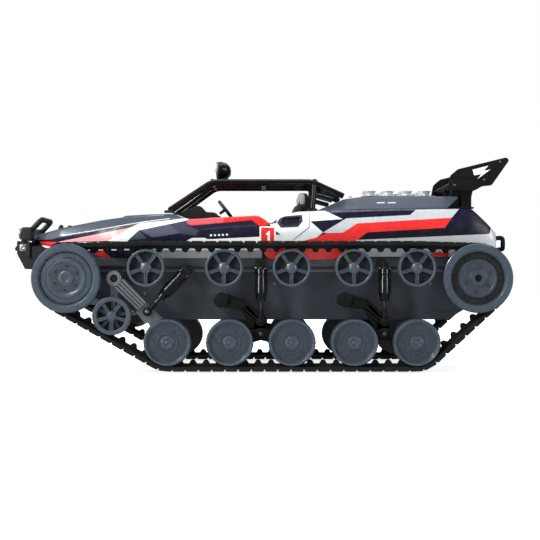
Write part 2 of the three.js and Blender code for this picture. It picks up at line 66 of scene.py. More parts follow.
def station(point):
    """The side-view place (x, z), in millimetres, of a point in metres."""
    return Vector(((point[0] - AXLES_X) / MM, point[2] / MM))


def pivot(joint):
    return station(JOINTS[joint]["pos_m"])


# ---------------------------------------------------------------- materials


def linear(red, green, blue):
    """A display colour, 0 to 255, as the linear colour a shader takes."""
    parts = [c / 255 for c in (red, green, blue)]
    return tuple(((c + 0.055) / 1.055) ** 2.4 if c > 10 / 255 else c / 12.92 for c in parts)


def put(node, **values):
    """Sets a node's inputs; an underscore in a name stands for a space."""
    for name, value in values.items():
        node.inputs[name.replace("_", " ")].default_value = value


def finish(name, colour, rough=0.5, metal=0.0, coat=0.0, grain=0.12, grain_size=0.35, mottle=0.12, streak=0.0,
           shine=0.5):
    """A surface with cloudy colour, uneven roughness and a fine moulded grain of grain_size millimetres."""
    material = bpy.data.materials.new(name)
    material.use_nodes = True
    nodes = material.node_tree.nodes
    links = material.node_tree.links
    shader = nodes["Principled BSDF"]
    place = nodes.new("ShaderNodeTexCoord").outputs["Object"]

    def noise(scale, detail, source=place):
        node = nodes.new("ShaderNodeTexNoise")
        put(node, Scale=scale, Detail=detail)
        links.new(source, node.inputs["Vector"])
        return node.outputs["Fac"]

    def ramp(value, low, high):
        node = nodes.new("ShaderNodeMapRange")
        put(node, From_Min=0.3, From_Max=0.7, To_Min=low, To_Max=high)
        links.new(value, node.inputs["Value"])
        return node.outputs["Result"]

    def shade(base, value, low, high):
        node = nodes.new("ShaderNodeVectorMath")
        node.operation = "SCALE"
        links.new(base, node.inputs[0])
        links.new(ramp(value, low, high), node.inputs["Scale"])
        return node.outputs["Vector"]

    base = nodes.new("ShaderNodeRGB")
    base.outputs[0].default_value = (*linear(*colour), 1)
    tint = shade(base.outputs[0], noise(45, 3), 1 - mottle, 1 + mottle)
    tint = shade(tint, noise(900, 2), 1 - mottle / 2, 1 + mottle / 2)
    links.new(tint, shader.inputs["Base Color"])
    links.new(ramp(noise(160, 4), rough - 0.07, rough + 0.09), shader.inputs["Roughness"])
    put(shader, Metallic=metal, Specular_IOR_Level=shine, Coat_Weight=coat, Coat_Roughness=0.08)
    source = place
    if streak:
        stretch = nodes.new("ShaderNodeMapping")
        put(stretch, Scale=(streak, 1, 1))
        links.new(place, stretch.inputs["Vector"])
        source = stretch.outputs["Vector"]
    bump = nodes.new("ShaderNodeBump")
    put(bump, Strength=grain, Distance=0.0002)
    links.new(noise(1 / (grain_size * MM), 3, source), bump.inputs["Height"])
    links.new(bump.outputs["Normal"], shader.inputs["Normal"])
    return material


def paint(name, colour, rough=0.3, coat=0.5, mottle=0.04, metal=0.0):
    return finish(f"paint_{name}", colour, rough, metal, coat, grain=0.04, mottle=mottle)


def glass(name, colour):
    material = finish(name, colour, rough=0.08, coat=1.0, grain=0.02)
    put(material.node_tree.nodes["Principled BSDF"], Transmission_Weight=0.35, IOR=1.45)
    return material


HULL = finish("hull_plastic", (52, 58, 68), rough=0.5, grain=0.25)
HULL_BAND = finish("hull_band_plastic", (78, 85, 94), rough=0.48, grain=0.25)
WHEEL = finish("wheel_plastic", (56, 66, 76), rough=0.3, coat=0.4, grain=0.08)
# The wheel plastic made darker, as painted shade in the sunk dishes and hubs.
WHEEL_DISH_SHADE = finish("wheel_dish_painted_shade", (48, 56, 64), rough=0.34, coat=0.2, grain=0.12)
# Near-black, mostly painted shade: discs, rings and holes where the wheels lie in shade. It also colours a
# black screw head on each pivot post.
WHEEL_SHADE_AND_BLACK = finish("wheel_painted_shade_and_black", (22, 26, 28), rough=0.6)
RUBBER = finish("belt_rubber", (19, 20, 19), rough=0.78, grain=0.5, grain_size=0.5, mottle=0.22, shine=0.25)
ARM_BLACK = finish("arm_black_nylon", (12, 14, 13), rough=0.45, grain=0.2, shine=0.25)
ARM_GREY = finish("arm_grey_nylon", (92, 96, 102), rough=0.55, grain=0.3)
DAMPER = finish("damper_gloss", (9, 10, 11), rough=0.16, coat=0.8, grain=0.03)
STEEL = finish("polished_steel", (214, 216, 220), rough=0.2, metal=1.0, grain=0.05)
BRUSHED = finish("brushed_metal", (176, 178, 182), rough=0.36, metal=0.85, grain=0.2, streak=0.08)
CHROME = finish("stack_chrome", (228, 231, 236), rough=0.2, metal=0.45, grain=0.02, mottle=0.03)
GLOSS_BLACK = finish("cage_gloss_black", (5, 6, 7), rough=0.2, coat=0.25, grain=0.03)
TRIM = finish("trim_textured_black", (24, 26, 28), rough=0.5, grain=0.5, grain_size=0.6, shine=0.3)
WING = finish("wing_satin_black", (12, 13, 14), rough=0.36, coat=0.05, grain=0.1, shine=0.3)
COVER = finish("cover_slate", (68, 76, 89), rough=0.42, coat=0.1, grain=0.06, mottle=0.06)
INTERIOR = finish("interior_black", (20, 21, 23), rough=0.62, grain=0.5, grain_size=0.7, shine=0.3)
LEATHER = finish("seat_vinyl", (26, 27, 29), rough=0.5, grain=0.8, grain_size=0.9, mottle=0.16)
PATCH = finish("seat_patch_grey", (150, 152, 154), rough=0.6, grain=0.6, grain_size=0.8)
CASE = finish("gearbox_case", (96, 99, 104), rough=0.55, grain=0.3)
SLEEVE = finish("battery_sleeve", (40, 74, 124), rough=0.3, coat=0.3, grain=0.05)
COPPER = finish("terminal_copper", (190, 120, 70), rough=0.3, metal=1.0)
LENS = glass("lamp_lens", (236, 240, 242))
REFLECTOR = finish("lamp_reflector", (235, 236, 238), rough=0.12, metal=1.0, grain=0.02)
GAUGE = finish("gauge_face", (190, 194, 200), rough=0.3, grain=0.1)
NAVY = paint("navy", (14, 13, 42), coat=0.25, mottle=0.08)
WHITE = paint("white", (250, 251, 250), rough=0.28, mottle=0.02)
PEARL = paint("pearl", (224, 228, 228), rough=0.28, mottle=0.03)
SILVER = paint("silver", (196, 201, 204), metal=0.1)
RED = paint("red", (230, 42, 38), rough=0.27, mottle=0.05)
ROSE = paint("rose", (214, 84, 90), coat=0.4, mottle=0.05)
# A red decal with painted glare on it, which makes it pink.
RED_GLARE = paint("red_painted_glare", (243, 166, 166), coat=0.4)
NAVY_DEEP = paint("navy_deep", (8, 7, 24), rough=0.32, coat=0.2, mottle=0.08)
LEDGE = finish("ledge_plastic", (112, 117, 120), rough=0.5, grain=0.5, grain_size=0.6, mottle=0.16)
SLATE = finish("paint_slate", (66, 75, 86), rough=0.33, coat=0.4, grain=0.05, mottle=0.06)
FACET_LIGHT = finish("paint_facet_light", (82, 86, 104), rough=0.32, coat=0.4, grain=0.05)
# A grey-navy facet tone, also used for a painted bevel highlight on the flank.
FACET_MID_AND_HIGHLIGHT = finish("paint_facet_mid_and_painted_highlight", (60, 66, 84), rough=0.32, coat=0.4, grain=0.05)
SKIRT = finish("paint_skirt_grey", (150, 154, 156), rough=0.4, coat=0.2, grain=0.08)
SEAM = finish("panel_gap", (34, 36, 44), rough=0.6)

# ---------------------------------------------------------------- mesh tools


def polar(radius, angle):
    return Vector((radius * math.cos(angle), radius * math.sin(angle)))


def rounded(points, reach, steps=3, closed=True):
    """The line with each corner made a curve that starts reach before it; a list gives one reach for each."""
    out = []
    for i, point in enumerate(points):
        here = Vector(point)
        if not closed and i in (0, len(points) - 1):
            out.append(here)
            continue
        before = Vector(points[i - 1]) - here
        after = Vector(points[(i + 1) % len(points)]) - here
        own = reach[i] if isinstance(reach, (list, tuple)) else reach
        start = here + before.normalized() * min(own, 0.45 * before.length)
        end = here + after.normalized() * min(own, 0.45 * after.length)
        for k in range(steps + 1):
            t = k / steps
            out.append(start * (1 - t) ** 2 + here * (2 * t * (1 - t)) + end * t * t)
    return out


def outward(bm):
    bmesh.ops.recalc_face_normals(bm, faces=bm.faces[:])
    return bm


def loft(rings, loop=False):
    """A skin through closed rings of points, capped at both ends or joined end to end."""
    bm = bmesh.new()
    rows = [[bm.verts.new(point) for point in ring] for ring in rings]
    pairs = list(zip(rows, rows[1:])) + ([(rows[-1], rows[0])] if loop else [])
    for a, b in pairs:
        for k in range(len(a)):
            bm.faces.new((a[k - 1], a[k], b[k], b[k - 1]))
    if not loop:
        bm.faces.new(rows[0])
        bm.faces.new(rows[-1])
    return outward(bm)


TREAD_DEPTH = 0.35


def turned(profile, steps=40, side=1, treads=()):
    """A (radius, width) line turned about Y. It closes on itself unless both its ends are on the axis."""
    bm = bmesh.new()
    rows = []
    for i, (radius, width) in enumerate(profile):
        if radius < 1e-6:
            rows.append([bm.verts.new((0, side * width, 0))])
            continue
        row = []
        for k in range(steps):
            r = radius - (TREAD_DEPTH if i in treads and k % 2 else 0)
            turn = 2 * math.pi * k / steps
            row.append(bm.verts.new((r * math.sin(turn), side * width, r * math.cos(turn))))
        rows.append(row)
    pairs = list(zip(rows, rows[1:]))
    if len(rows[0]) > 1 or len(rows[-1]) > 1:
        pairs.append((rows[-1], rows[0]))
    for a, b in pairs:
        for k in range(steps):
            corners = [a[k % len(a)], a[(k + 1) % len(a)], b[(k + 1) % len(b)], b[k % len(b)]]
            face = list(dict.fromkeys(corners))
            if len(face) > 2:
                bm.faces.new(face)
    return outward(bm)


def wire(radius, thick, steps):
    """The round section of a wire bent into a hoop, as a line to turn."""
    turns = [2 * math.pi * k / steps for k in range(steps)]
    return [(radius + thick * math.cos(t), thick * math.sin(t)) for t in turns]


def spun(line, reach, rounds, steps, side=1, closed=False):
    """A line with its corners rounded, turned about Y."""
    return turned(rounded(line, reach, rounds, closed), steps, side)


def moved(bm, x=0, y=0, z=0):
    bmesh.ops.translate(bm, verts=bm.verts[:], vec=(x, y, z))
    return bm


def aimed(bm, direction):
    """Turns an island made along +Y so that it points along direction."""
    turn = Vector((0, 1, 0)).rotation_difference(Vector(direction))
    bmesh.ops.rotate(bm, verts=bm.verts[:], cent=(0, 0, 0), matrix=turn.to_matrix())
    return bm


def facing(bm, direction, x, y, z):
    """An island made along +Y, turned to a direction and moved to its place."""
    return moved(aimed(bm, direction), x, y, z)


def bevel(bm, edges, width, segments=2):
    bmesh.ops.bevel(
        bm, geom=edges, offset=width, offset_type="OFFSET", segments=segments, profile=0.5,
        affect="EDGES", clamp_overlap=True,
    )
    return bm


def prism(outline, w0, w1, edge=0.4, side=1):
    """An (x, z) outline made solid between two widths, with both rims bevelled."""
    bm = bmesh.new()
    near = [bm.verts.new((p[0], side * w0, p[1])) for p in outline]
    far = [bm.verts.new((p[0], side * w1, p[1])) for p in outline]
    bm.faces.new(near)
    bm.faces.new(far)
    for k in range(len(outline)):
        bm.faces.new((near[k - 1], near[k], far[k], far[k - 1]))
    outward(bm)
    if edge:
        rims = [e for e in bm.edges if abs(e.verts[0].co.y - e.verts[1].co.y) < 1e-6]
        bevel(bm, rims, edge)
    return bm


def slab(outline, reach, rounds, w0, w1, edge=0.4, side=1):
    """A prism whose outline has its corners rounded."""
    return prism(rounded(outline, reach, rounds), w0, w1, edge, side)


def block(x0, x1, y0, y1, z0, z1, edge=0.5):
    """A box with every edge rounded."""
    bm = bmesh.new()
    bmesh.ops.create_cube(bm, size=1)
    size = Vector((abs(x1 - x0), abs(y1 - y0), abs(z1 - z0)))
    bmesh.ops.scale(bm, verts=bm.verts[:], vec=size)
    bevel(bm, bm.edges[:], edge)
    return moved(bm, (x0 + x1) / 2, (y0 + y1) / 2, (z0 + z1) / 2)


def disc(radius, w0, w1, edge=0.4, steps=32, side=1, at=(0, 0), dome=0.0):
    """A round boss along Y at the side-view place, its outer face raised by dome."""
    line = [(0, w0), (radius, w0), (radius, w1 - dome), (radius * 0.6, w1 - dome * 0.35), (0, w1)]
    reach = [0, edge, edge, radius * 0.3 if dome else 0.01, 0]
    return moved(spun(line, reach, 3, steps, side), at[0], 0, at[1])


def collar(r_in, r_out, w0, w1, edge=0.4, steps=40, side=1, at=(0, 0)):
    """A ring along Y with a bore."""
    line = [(r_in, w0), (r_out, w0), (r_out, w1), (r_in, w1)]
    return moved(turned(rounded(line, edge, 2), steps, side), at[0], 0, at[1])


def screw(radius, width, side, at, height=0.8):
    """A button-head screw with a socket, standing out from the given width."""
    line = [
        (0, width + height * 0.35), (radius * 0.42, width + height * 0.35), (radius * 0.46, width + height),
        (radius * 0.75, width + height * 0.9), (radius, width + height * 0.3), (radius, width - 0.6),
        (0, width - 0.6),
    ]
    return moved(turned(line, 16, side), at[0], 0, at[1])


def bolt(place, direction, radius, foot, rim, socket, top, floor, reach=0.2, rounds=2, steps=14):
    """A bolt head with a socket: foot, rim, top and the socket's floor are heights above the place."""
    line = [(0, foot), (radius, foot), (radius, rim), (socket, top), (socket - 0.1, floor), (0, floor)]
    return facing(spun(line, reach, rounds, steps), direction, *place)


def ribs(a, b, offsets, half, w0, w1, side, start=0, stop=0, taper=1):
    """Raised ribs along a limb, from start past a to stop past b, drawn closer together at b by taper."""
    along = (b - a).normalized()
    across = Vector((-along.y, along.x))
    for k, offset in enumerate(offsets):
        line = strip(a + across * offset + along * start, b + across * offset * taper + along * stop,
                     half[k] if isinstance(half, tuple) else half)
        yield prism(line, w0, w1, 0.3, side)


def capsule(a, b, ra, rb, steps=10):
    """Outline round two circles of different radius."""
    a, b = Vector(a), Vector(b)
    heading = math.atan2(b.y - a.y, b.x - a.x)
    lean = math.acos(max(-1, min(1, (ra - rb) / (b - a).length)))
    back = [a + polar(ra, heading + lean + (2 * math.pi - 2 * lean) * k / steps) for k in range(steps + 1)]
    front = [b + polar(rb, heading - lean + 2 * lean * k / steps) for k in range(steps + 1)]
    return back + front


def sector(r0, r1, start, end, steps=8):
    """Outline of part of a ring, about the origin."""
    turns = [start + (end - start) * k / steps for k in range(steps + 1)]
    return [polar(r1, t) for t in turns] + [polar(r0, t) for t in reversed(turns)]


def strip(a, b, half):
    """A narrow four-cornered outline from a to b."""
    a, b = Vector(a), Vector(b)
    along = (b - a).normalized()
    across = Vector((-along.y, along.x)) * half
    return [a - across, b - across, b + across, a + across]


def tube(points, radius, bend=0.0, steps=12):
    """A round bar through the points, its corners bent and its ends rounded over."""
    path = [Vector(p) for p in points]
    if bend:
        path = rounded(path, bend, 6, closed=False)
    headings = []
    for i in range(len(path)):
        before = path[i] - path[i - 1] if i else path[1] - path[0]
        after = path[i + 1] - path[i] if i + 1 < len(path) else before
        headings.append((before.normalized() + after.normalized()).normalized())
    side = headings[0].orthogonal().normalized()
    rings = []
    for i, (point, heading) in enumerate(zip(path, headings)):
        side = (side - heading * side.dot(heading)).normalized()
        up = heading.cross(side)

        def ring(centre, r):
            turns = [2 * math.pi * k / steps for k in range(steps)]
            return [centre + side * r * math.cos(t) + up * r * math.sin(t) for t in turns]

        if i == 0:
            rings.append(ring(point, radius * 0.7))
            point = point + heading * radius * 0.25
        if i == len(path) - 1:
            rings.append(ring(point - heading * radius * 0.25, radius))
            rings.append(ring(point, radius * 0.7))
        else:
            rings.append(ring(point, radius))
    return loft(rings)


CHANNEL_DEPTH = 1.6


def cushion(centre, size, power=5, cuts=9, channels=0):
    """A padded block: a rounded, crowned box with sewn channels across its length."""
    bm = bmesh.new()
    bmesh.ops.create_cube(bm, size=2)
    bmesh.ops.subdivide_edges(bm, edges=bm.edges[:], cuts=cuts, use_grid_fill=True)
    for vert in bm.verts:
        swell = sum(abs(c) ** power for c in vert.co) ** (1 / power)
        vert.co = vert.co / swell
        if channels:
            wave = abs(math.sin(vert.co.x * channels * math.pi / 2))
            vert.co.z -= math.copysign(CHANNEL_DEPTH / size[2] * max(0, 1 - 5 * wave), vert.co.z)
        vert.co = Vector([centre[i] + vert.co[i] * size[i] / 2 for i in range(3)])
    return outward(bm)


class Mould:
    """Closed islands of mesh, each with its material, that become one piece."""

    def __init__(self):
        self.bm = bmesh.new()
        self.materials = []

    def index(self, material):
        if material not in self.materials:
            self.materials.append(material)
        return self.materials.index(material)

    def add(self, material, *islands):
        for island in islands:
            for face in island.faces:
                face.material_index = self.index(material)
            self.keep(island)

    def keep(self, island):
        """Adds an island whose faces already hold this mould's material numbers."""
        for face in island.faces:
            face.smooth = True
        holder = bpy.data.meshes.new("island")
        island.to_mesh(holder)
        island.free()
        self.bm.from_mesh(holder)
        bpy.data.meshes.remove(holder)

    def mesh(self, name, crease=38):
        mesh = bpy.data.meshes.new(name)
        self.bm.to_mesh(mesh)
        self.bm.free()
        for material in self.materials:
            mesh.materials.append(material)
        mesh.transform(Matrix.Scale(MM, 4))
        mesh.set_sharp_from_angle(angle=math.radians(crease))
        return mesh


def show(mesh, name, body, nodes, at=None, weighted=True):
    """Puts a mesh in the scene as a piece that moves with a body and stands for CAD nodes."""
    piece = bpy.data.objects.new(name, mesh)
    bpy.context.scene.collection.objects.link(piece)
    piece.location = at if at is not None else (AXLES_X, 0, 0)
    if weighted:
        normals = piece.modifiers.new("flat_faces_stay_flat", "WEIGHTED_NORMAL")
        normals.keep_sharp = True
    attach(piece, body)
    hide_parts(*nodes)


def stand_in(mesh, node, body="chassis", at=None, weighted=True):
    """Shows the looks of one CAD node."""
    show(mesh, f"{node}_looks", body, [node], at, weighted)


def hub_height(node):
    """The wheel centre of a node, on the centre plane, in metres."""
    centre = middle(node)
    return Vector((centre.x, 0, centre.z))


# ---------------------------------------------------------------- wheels

DRUM_R = 27.8
FLANGE_R = 31.6
WHEEL_STEPS = 72


def bumps(mould, count, radius, size, width, side):
    """A circle of small domed heads round a hub."""
    for k in range(count):
        at = polar(radius, 2 * math.pi * k / count)
        mould.add(WHEEL, disc(size, width - 1, width + 0.5, 0.2, 12, side, at, dome=0.3))


def drum(mould, side):
    """The twin drums under the belt, with the shaft that goes through the hull wall."""
    inner = [(4, 66), (DRUM_R, 66), (DRUM_R, 76.4), (18, 76.4), (18, 85.2), (DRUM_R, 85.2), (DRUM_R, 97.6),
             (25, 97.6), (25, 92), (4, 92)]
    mould.add(WHEEL, spun(inner, 0.8, 2, WHEEL_STEPS, side, True))
    mould.add(STEEL, disc(4, 46, 67, 0.4, 24, side))
    for k in range(6):
        rib = prism(strip(polar(8, k * math.pi / 3), polar(25, k * math.pi / 3), 1), 64.6, 66.5, 0.3, side)
        mould.add(WHEEL, rib)


def wheel_rim(side):
    """Broad flat ring of an end wheel, with a sloped inner wall."""
    ring = [(24, 94.6), (FLANGE_R, 96.8), (FLANGE_R, 99.2), (30.9, 99.8), (30.5, 101), (25.6, 101),
            (24.1, 98.6), (23.9, 96)]
    return spun(ring, 0.35, 2, WHEEL_STEPS, side, True)


def idler(side):
    mould = Mould()
    drum(mould, side)
    mould.add(WHEEL, wheel_rim(side))
    # Painted shade: a near-black ring at the foot of the rim's inner wall.
    mould.add(WHEEL_SHADE_AND_BLACK, disc(24.2, 95, 96.4, 0.2, WHEEL_STEPS, side))
    face = [(0, 96), (23.2, 96), (23.2, 97.2), (19.4, 97.2), (17.4, 99.2), (15.6, 99.2), (14.8, 98.2),
            (12.4, 97.4), (9.8, 97.4), (7.4, 97.8), (6.8, 99.4), (5.8, 99.8), (3.2, 99.8), (2.7, 99),
            (0, 99)]
    mould.add(WHEEL, spun(face, 0.35, 2, WHEEL_STEPS, side))
    # Painted shade: the dish ring is in the darker wheel colour.
    mould.add(WHEEL_DISH_SHADE, collar(7.6, 14.6, 96, 97.9, 0.3, 56, side))
    bumps(mould, 8, 4.5, 0.7, 99.7, side)
    # Painted shade: the six slots are near-black plates.
    for k in range(6):
        slot = sector(10, 12.2, k * 1.0472 + 0.3, k * 1.0472 + 0.6, 4)
        mould.add(WHEEL_SHADE_AND_BLACK, prism(slot, 97, 98.1, 0.1, side))
    return mould.mesh("idler")


def sprocket(side):
    mould = Mould()
    drum(mould, side)
    mould.add(WHEEL, wheel_rim(side))
    # Painted shade: a near-black ring inside the rim, the sunk hub and its bosses in the darker wheel colour,
    # and a near-black centre. The ribs are near-black too.
    mould.add(WHEEL_SHADE_AND_BLACK, disc(24.4, 93.5, 94.9, 0.2, WHEEL_STEPS, side))
    hub = [(0, 94), (18.2, 94), (18.2, 96.6), (16.8, 98.3), (15.2, 98.3), (14.6, 97.7), (8.6, 97.9),
           (7.4, 98.3), (7.2, 100.6), (3.6, 101), (3.2, 100.4), (3, 98.4), (0, 98.4)]
    mould.add(WHEEL_DISH_SHADE, spun(hub, 0.3, 2, 56, side))
    mould.add(WHEEL_SHADE_AND_BLACK, disc(3.05, 97, 98.9, 0.1, 24, side))
    mould.add(DAMPER, screw(2.2, 98.8, side, (0, 0), 1.0))
    for k in range(6):
        at = polar(11.6, k * math.pi / 3 + 0.4)
        mould.add(WHEEL_DISH_SHADE, collar(0.9, 1.7, 97, 98.7, 0.2, 14, side, at))
        rib = strip(polar(17.5, k * math.pi / 3), polar(24.5, k * math.pi / 3), 0.9)
        mould.add(WHEEL_SHADE_AND_BLACK, prism(rib, 94, 96.8, 0.3, side))
    return mould.mesh("sprocket")


ROAD_R = 21.8


def road_wheel(side):
    """Twin dished discs on a slim axle, with ribbed treads."""
    mould = Mould()
    # Painted shade: the inner disc, in shade behind the outer one, is near-black.
    inner = [(4, 67), (17, 66), (ROAD_R - 1, 66), (ROAD_R, 66.8), (ROAD_R, 75.2), (ROAD_R - 1, 76),
             (17, 76), (4, 73)]
    mould.add(WHEEL_SHADE_AND_BLACK, turned(inner, WHEEL_STEPS, side, treads=(3, 4)))
    outer = [(0, 87), (4, 87), (15, 85.2), (20.8, 85.2), (21.8, 86), (21.8, 94.2), (21.3, 94.9), (21, 96),
             (19.3, 96), (18.8, 95.2), (18.5, 92.6), (17.6, 91.6), (13.6, 90.6), (10.4, 90.4),
             (10.1, 91.6), (9, 91.8), (8.6, 90.8), (6.6, 90.8), (6.2, 92.6), (3.4, 93.2), (3, 92.6),
             (0, 92.6)]
    line = rounded(outer, 0.3, 2, closed=False)
    tread = [i for i, (r, w) in enumerate(line) if r > 21.5 and 85.5 < w < 94.6]
    mould.add(WHEEL, turned(line, WHEEL_STEPS, side, tread))
    # Painted shade: the rings in the dish are in the darker wheel colour.
    mould.add(WHEEL_DISH_SHADE, collar(6.4, 18.2, 90, 91.7, 0.2, 60, side))
    mould.add(WHEEL_DISH_SHADE, collar(8.4, 10.4, 90, 92.6, 0.4, 48, side))
    mould.add(STEEL, disc(3.6, 66.5, 88, 0.3, 24, side))
    bumps(mould, 8, 4.6, 0.75, 93.2, side)
    mould.add(WHEEL, disc(2.1, 92, 93.8, 0.4, 20, side, dome=0.4))
    # Painted shade: five near-black dots stand for holes in the dish.
    for k in range(5):
        at = polar(13.6, k * 2 * math.pi / 5 + 0.5)
        mould.add(WHEEL_SHADE_AND_BLACK, disc(0.8, 91, 91.95, 0.1, 12, side, at))
        ridge = sector(11.6, 12.4, k * 2 * math.pi / 5 + 0.85, k * 2 * math.pi / 5 + 1.5, 5)
        mould.add(WHEEL, prism(ridge, 91, 92.3, 0.3, side))
    return mould.mesh("road_wheel")


def spokes(mould, hub, rim, width, w0, w1, side, turn=-math.pi / 2, flare=1.15):
    """Five spokes, each a flat web with a raised rib on both edges."""
    for k in range(5):
        angle = turn + 2 * math.pi * k / 5
        across = polar(width, angle + math.pi / 2)
        inner, outer = polar(hub, angle), polar(rim, angle)
        web = [inner - across, outer - across * flare, outer + across * flare, inner + across]
        mould.add(WHEEL, prism(web, w0, w1 - 0.9, 0.2, side))
        for sign in (-1, 1):
            shift = across * sign * 0.85
            rib = strip(inner + shift, outer + shift * flare, 0.42)
            mould.add(WHEEL, prism(rib, w0 + 0.4, w1, 0.25, side))


def roller_wheel(mould, side):
    rim = [(17.3, 86.4), (17.3, 95), (16.8, 96), (15.2, 96), (14.8, 95.4), (14.6, 86.4)]
    mould.add(WHEEL, spun(rim, 0.35, 2, 60, side, True))
    # Painted shade: a near-black disc behind the spokes, where the wheel is in shade.
    mould.add(WHEEL_SHADE_AND_BLACK, disc(15, 87.6, 89, 0.2, 48, side))
    spokes(mould, 3, 15, 1.25, 88.8, 94.4, side)
    cap = [(0, 88), (5.4, 88), (5.4, 95.2), (4.4, 96.3), (2.4, 97), (0, 97.2)]
    mould.add(WHEEL, spun(cap, 0.6, 3, 36, side))


def roller_pair():
    mould = Mould()
    for _, side in SIDES:
        roller_wheel(mould, side)
    mould.add(STEEL, tube([(0, -88, 0), (0, 88, 0)], 2.2, steps=20))
    return mould.mesh("return_rollers")


def tension_wheel(side):
    """Open wheel: two rows of spokes in one rim."""
    mould = Mould()
    rim = [(17.6, 86), (17.6, 94.8), (17, 95.5), (13.9, 95.5), (13.3, 94.9), (13.1, 86.4), (13.6, 86)]
    mould.add(WHEEL, spun(rim, 0.35, 2, 60, side, True))
    spokes(mould, 3, 13.8, 1.2, 92, 95, side)
    spokes(mould, 3, 13.8, 1.3, 86.4, 89.4, side, turn=-math.pi / 2 + 0.5)
    cap = [(0, 86.2), (4.6, 86.2), (4.6, 95.4), (3.4, 96.3), (0, 96.5)]
    mould.add(WHEEL, spun(cap, 0.6, 3, 32, side))
    # Painted shade: a near-black disc behind the spokes, where the open wheel is in shade.
    mould.add(WHEEL_SHADE_AND_BLACK, disc(13.4, 86.3, 86.9, 0.1, 48, side))
    mould.add(STEEL, disc(2.2, 75, 87, 0.3, 20, side))
    return mould.mesh("tension_wheel")


ROLLERS = roller_pair()
for n in range(1, 6):
    name = f"return_rollers_{n}"
    stand_in(ROLLERS, name, name, hub_height(name))
for label, side in SIDES:
    for kind, build in (("idler", idler), ("sprocket", sprocket), ("tension_wheel", tension_wheel)):
        name = f"{kind}_{label}"
        stand_in(build(side), name, name, hub_height(name))
    wheel = road_wheel(side)
    for n in range(1, 6):
        name = f"road_wheel_{label}_{n}"
        stand_in(wheel, name, name, hub_height(name))

# ---------------------------------------------------------------- belts

BELT_GAP = 0.5
WEB = 4.0
GUIDE_IN = 77.2
GUIDE_OUT = 84.4
RIDGE_H = 2.5
HORN_H = 6.0
HORN_PITCH = 12.0
RUN_LIFT = 20.5


def belt_path():
    """Points 1 mm apart along the web's inner face, each with its heading.

    The path goes round the drums and the end road wheels.
    The top run passes level, RUN_LIFT above the roller shafts.
    """
    turned_on = (("idler_left", DRUM_R + BELT_GAP), ("road_wheel_left_1", ROAD_R + BELT_GAP),
                 ("road_wheel_left_5", ROAD_R + BELT_GAP), ("sprocket_left", DRUM_R + BELT_GAP),
                 ("return_rollers_5", RUN_LIFT), ("return_rollers_1", RUN_LIFT))
    wheels = [(station(middle(node)), r) for node, r in turned_on]
    leaving = []
    for i, (centre, r) in enumerate(wheels):
        ahead, r_ahead = wheels[(i + 1) % len(wheels)]
        span = ahead - centre
        leaving.append(math.atan2(span.y, span.x) - math.pi / 2 + math.asin((r - r_ahead) / span.length))
    corners = []
    for i, (centre, r) in enumerate(wheels):
        start, end = leaving[i - 1], leaving[i]
        while start > end:
            start -= 2 * math.pi
        steps = max(2, round((end - start) * r / 1.5))
        corners += [centre + polar(r, start + (end - start) * k / steps) for k in range(steps + 1)]
    path = []
    carried = 0.0
    for i, corner in enumerate(corners):
        leg = corners[(i + 1) % len(corners)] - corner
        if leg.length < 1e-6:
            continue
        heading = leg.normalized()
        while carried < leg.length:
            path.append((corner + heading * carried, heading))
            carried += 1.0
        carried -= leg.length
    return path


def belt(side):
    path = belt_path()
    mould = Mould()

    def at(along, inward, width):
        (x, z), heading = path[round(along) % len(path)]
        slip = along - round(along)
        x += heading.x * slip - heading.y * inward
        z += heading.y * slip + heading.x * inward
        return (x, side * width, z)

    def hoop(outline):
        reach = [at(s, 0, 0) for s in range(0, len(path), 3)]
        rings = [[at(s, inward, width) for width, inward in outline] for s in range(0, 3 * len(reach), 3)]
        return loft(rings, loop=True)

    web = rounded([(65.4, 0), (96.6, 0), (96.6, -WEB + 1.9), (65.4, -WEB + 1.9)], 0.4, 2)
    ridge = [(GUIDE_IN, -0.6), (GUIDE_OUT, -0.6), (GUIDE_OUT - 0.4, RIDGE_H), (GUIDE_IN + 0.4, RIDGE_H)]
    mould.add(RUBBER, hoop(web), hoop(rounded(ridge, 0.5, 2)))
    for width in (69, 72.5, 89, 93):
        cord = [(width, -0.3), (width + 1.2, -0.3), (width + 1, 0.35), (width + 0.2, 0.35)]
        mould.add(RUBBER, hoop(rounded(cord, 0.2, 1)))
    count = round(len(path) / HORN_PITCH)
    pitch = len(path) / count

    def lump(along, foot, top, low, high, w0, w1, edge):
        """A block on the belt: foot and top are half lengths, low and high heights, w0 and w1 its sides."""
        bm = bmesh.new()
        corners = ((-foot, low), (foot, low), (top, high), (-top, high))
        near = [bm.verts.new(at(along + step, lift, w0)) for step, lift in corners]
        far = [bm.verts.new(at(along + step, lift, w1)) for step, lift in corners]
        bm.faces.new(near)
        bm.faces.new(far)
        for k in range(4):
            bm.faces.new((near[k - 1], near[k], far[k], far[k - 1]))
        outward(bm)
        return bevel(bm, bm.edges[:], edge, 1)

    for k in range(count):
        along = k * pitch
        mould.add(RUBBER, lump(along, 5.7, 5.35, -1.6, -WEB + 0.35, 65, 97, 0.3))
        for w0, w1 in ((65.8, 79.4), (82.6, 96.2)):
            mould.add(RUBBER, lump(along, 5.1, 4.6, -WEB + 0.6, -WEB, w0, w1, 0.25))
        mould.add(RUBBER, lump(along, 4.8, 1.5, 0.5, HORN_H, GUIDE_IN + 0.2, GUIDE_OUT - 0.2, 0.6))
        for width in (66, 86):
            mould.add(RUBBER, lump(along + pitch / 2, 0.7, 0.5, -0.4, 0.3, width, width + 10, 0.15))
    return mould.mesh("belt")


for label, side in SIDES:
    stand_in(belt(side), f"track_{label}")

# ---------------------------------------------------------------- suspension

ARM_IN = 76.6
ARM_OUT = 79.6
BEAM_IN = 80.2
BEAM_OUT = 84.2
BEAM_MID = (BEAM_IN + BEAM_OUT) / 2
FRONT_LOW = Vector((-114.8, 54.2))
BOGIE_LOW_Z = 45.2


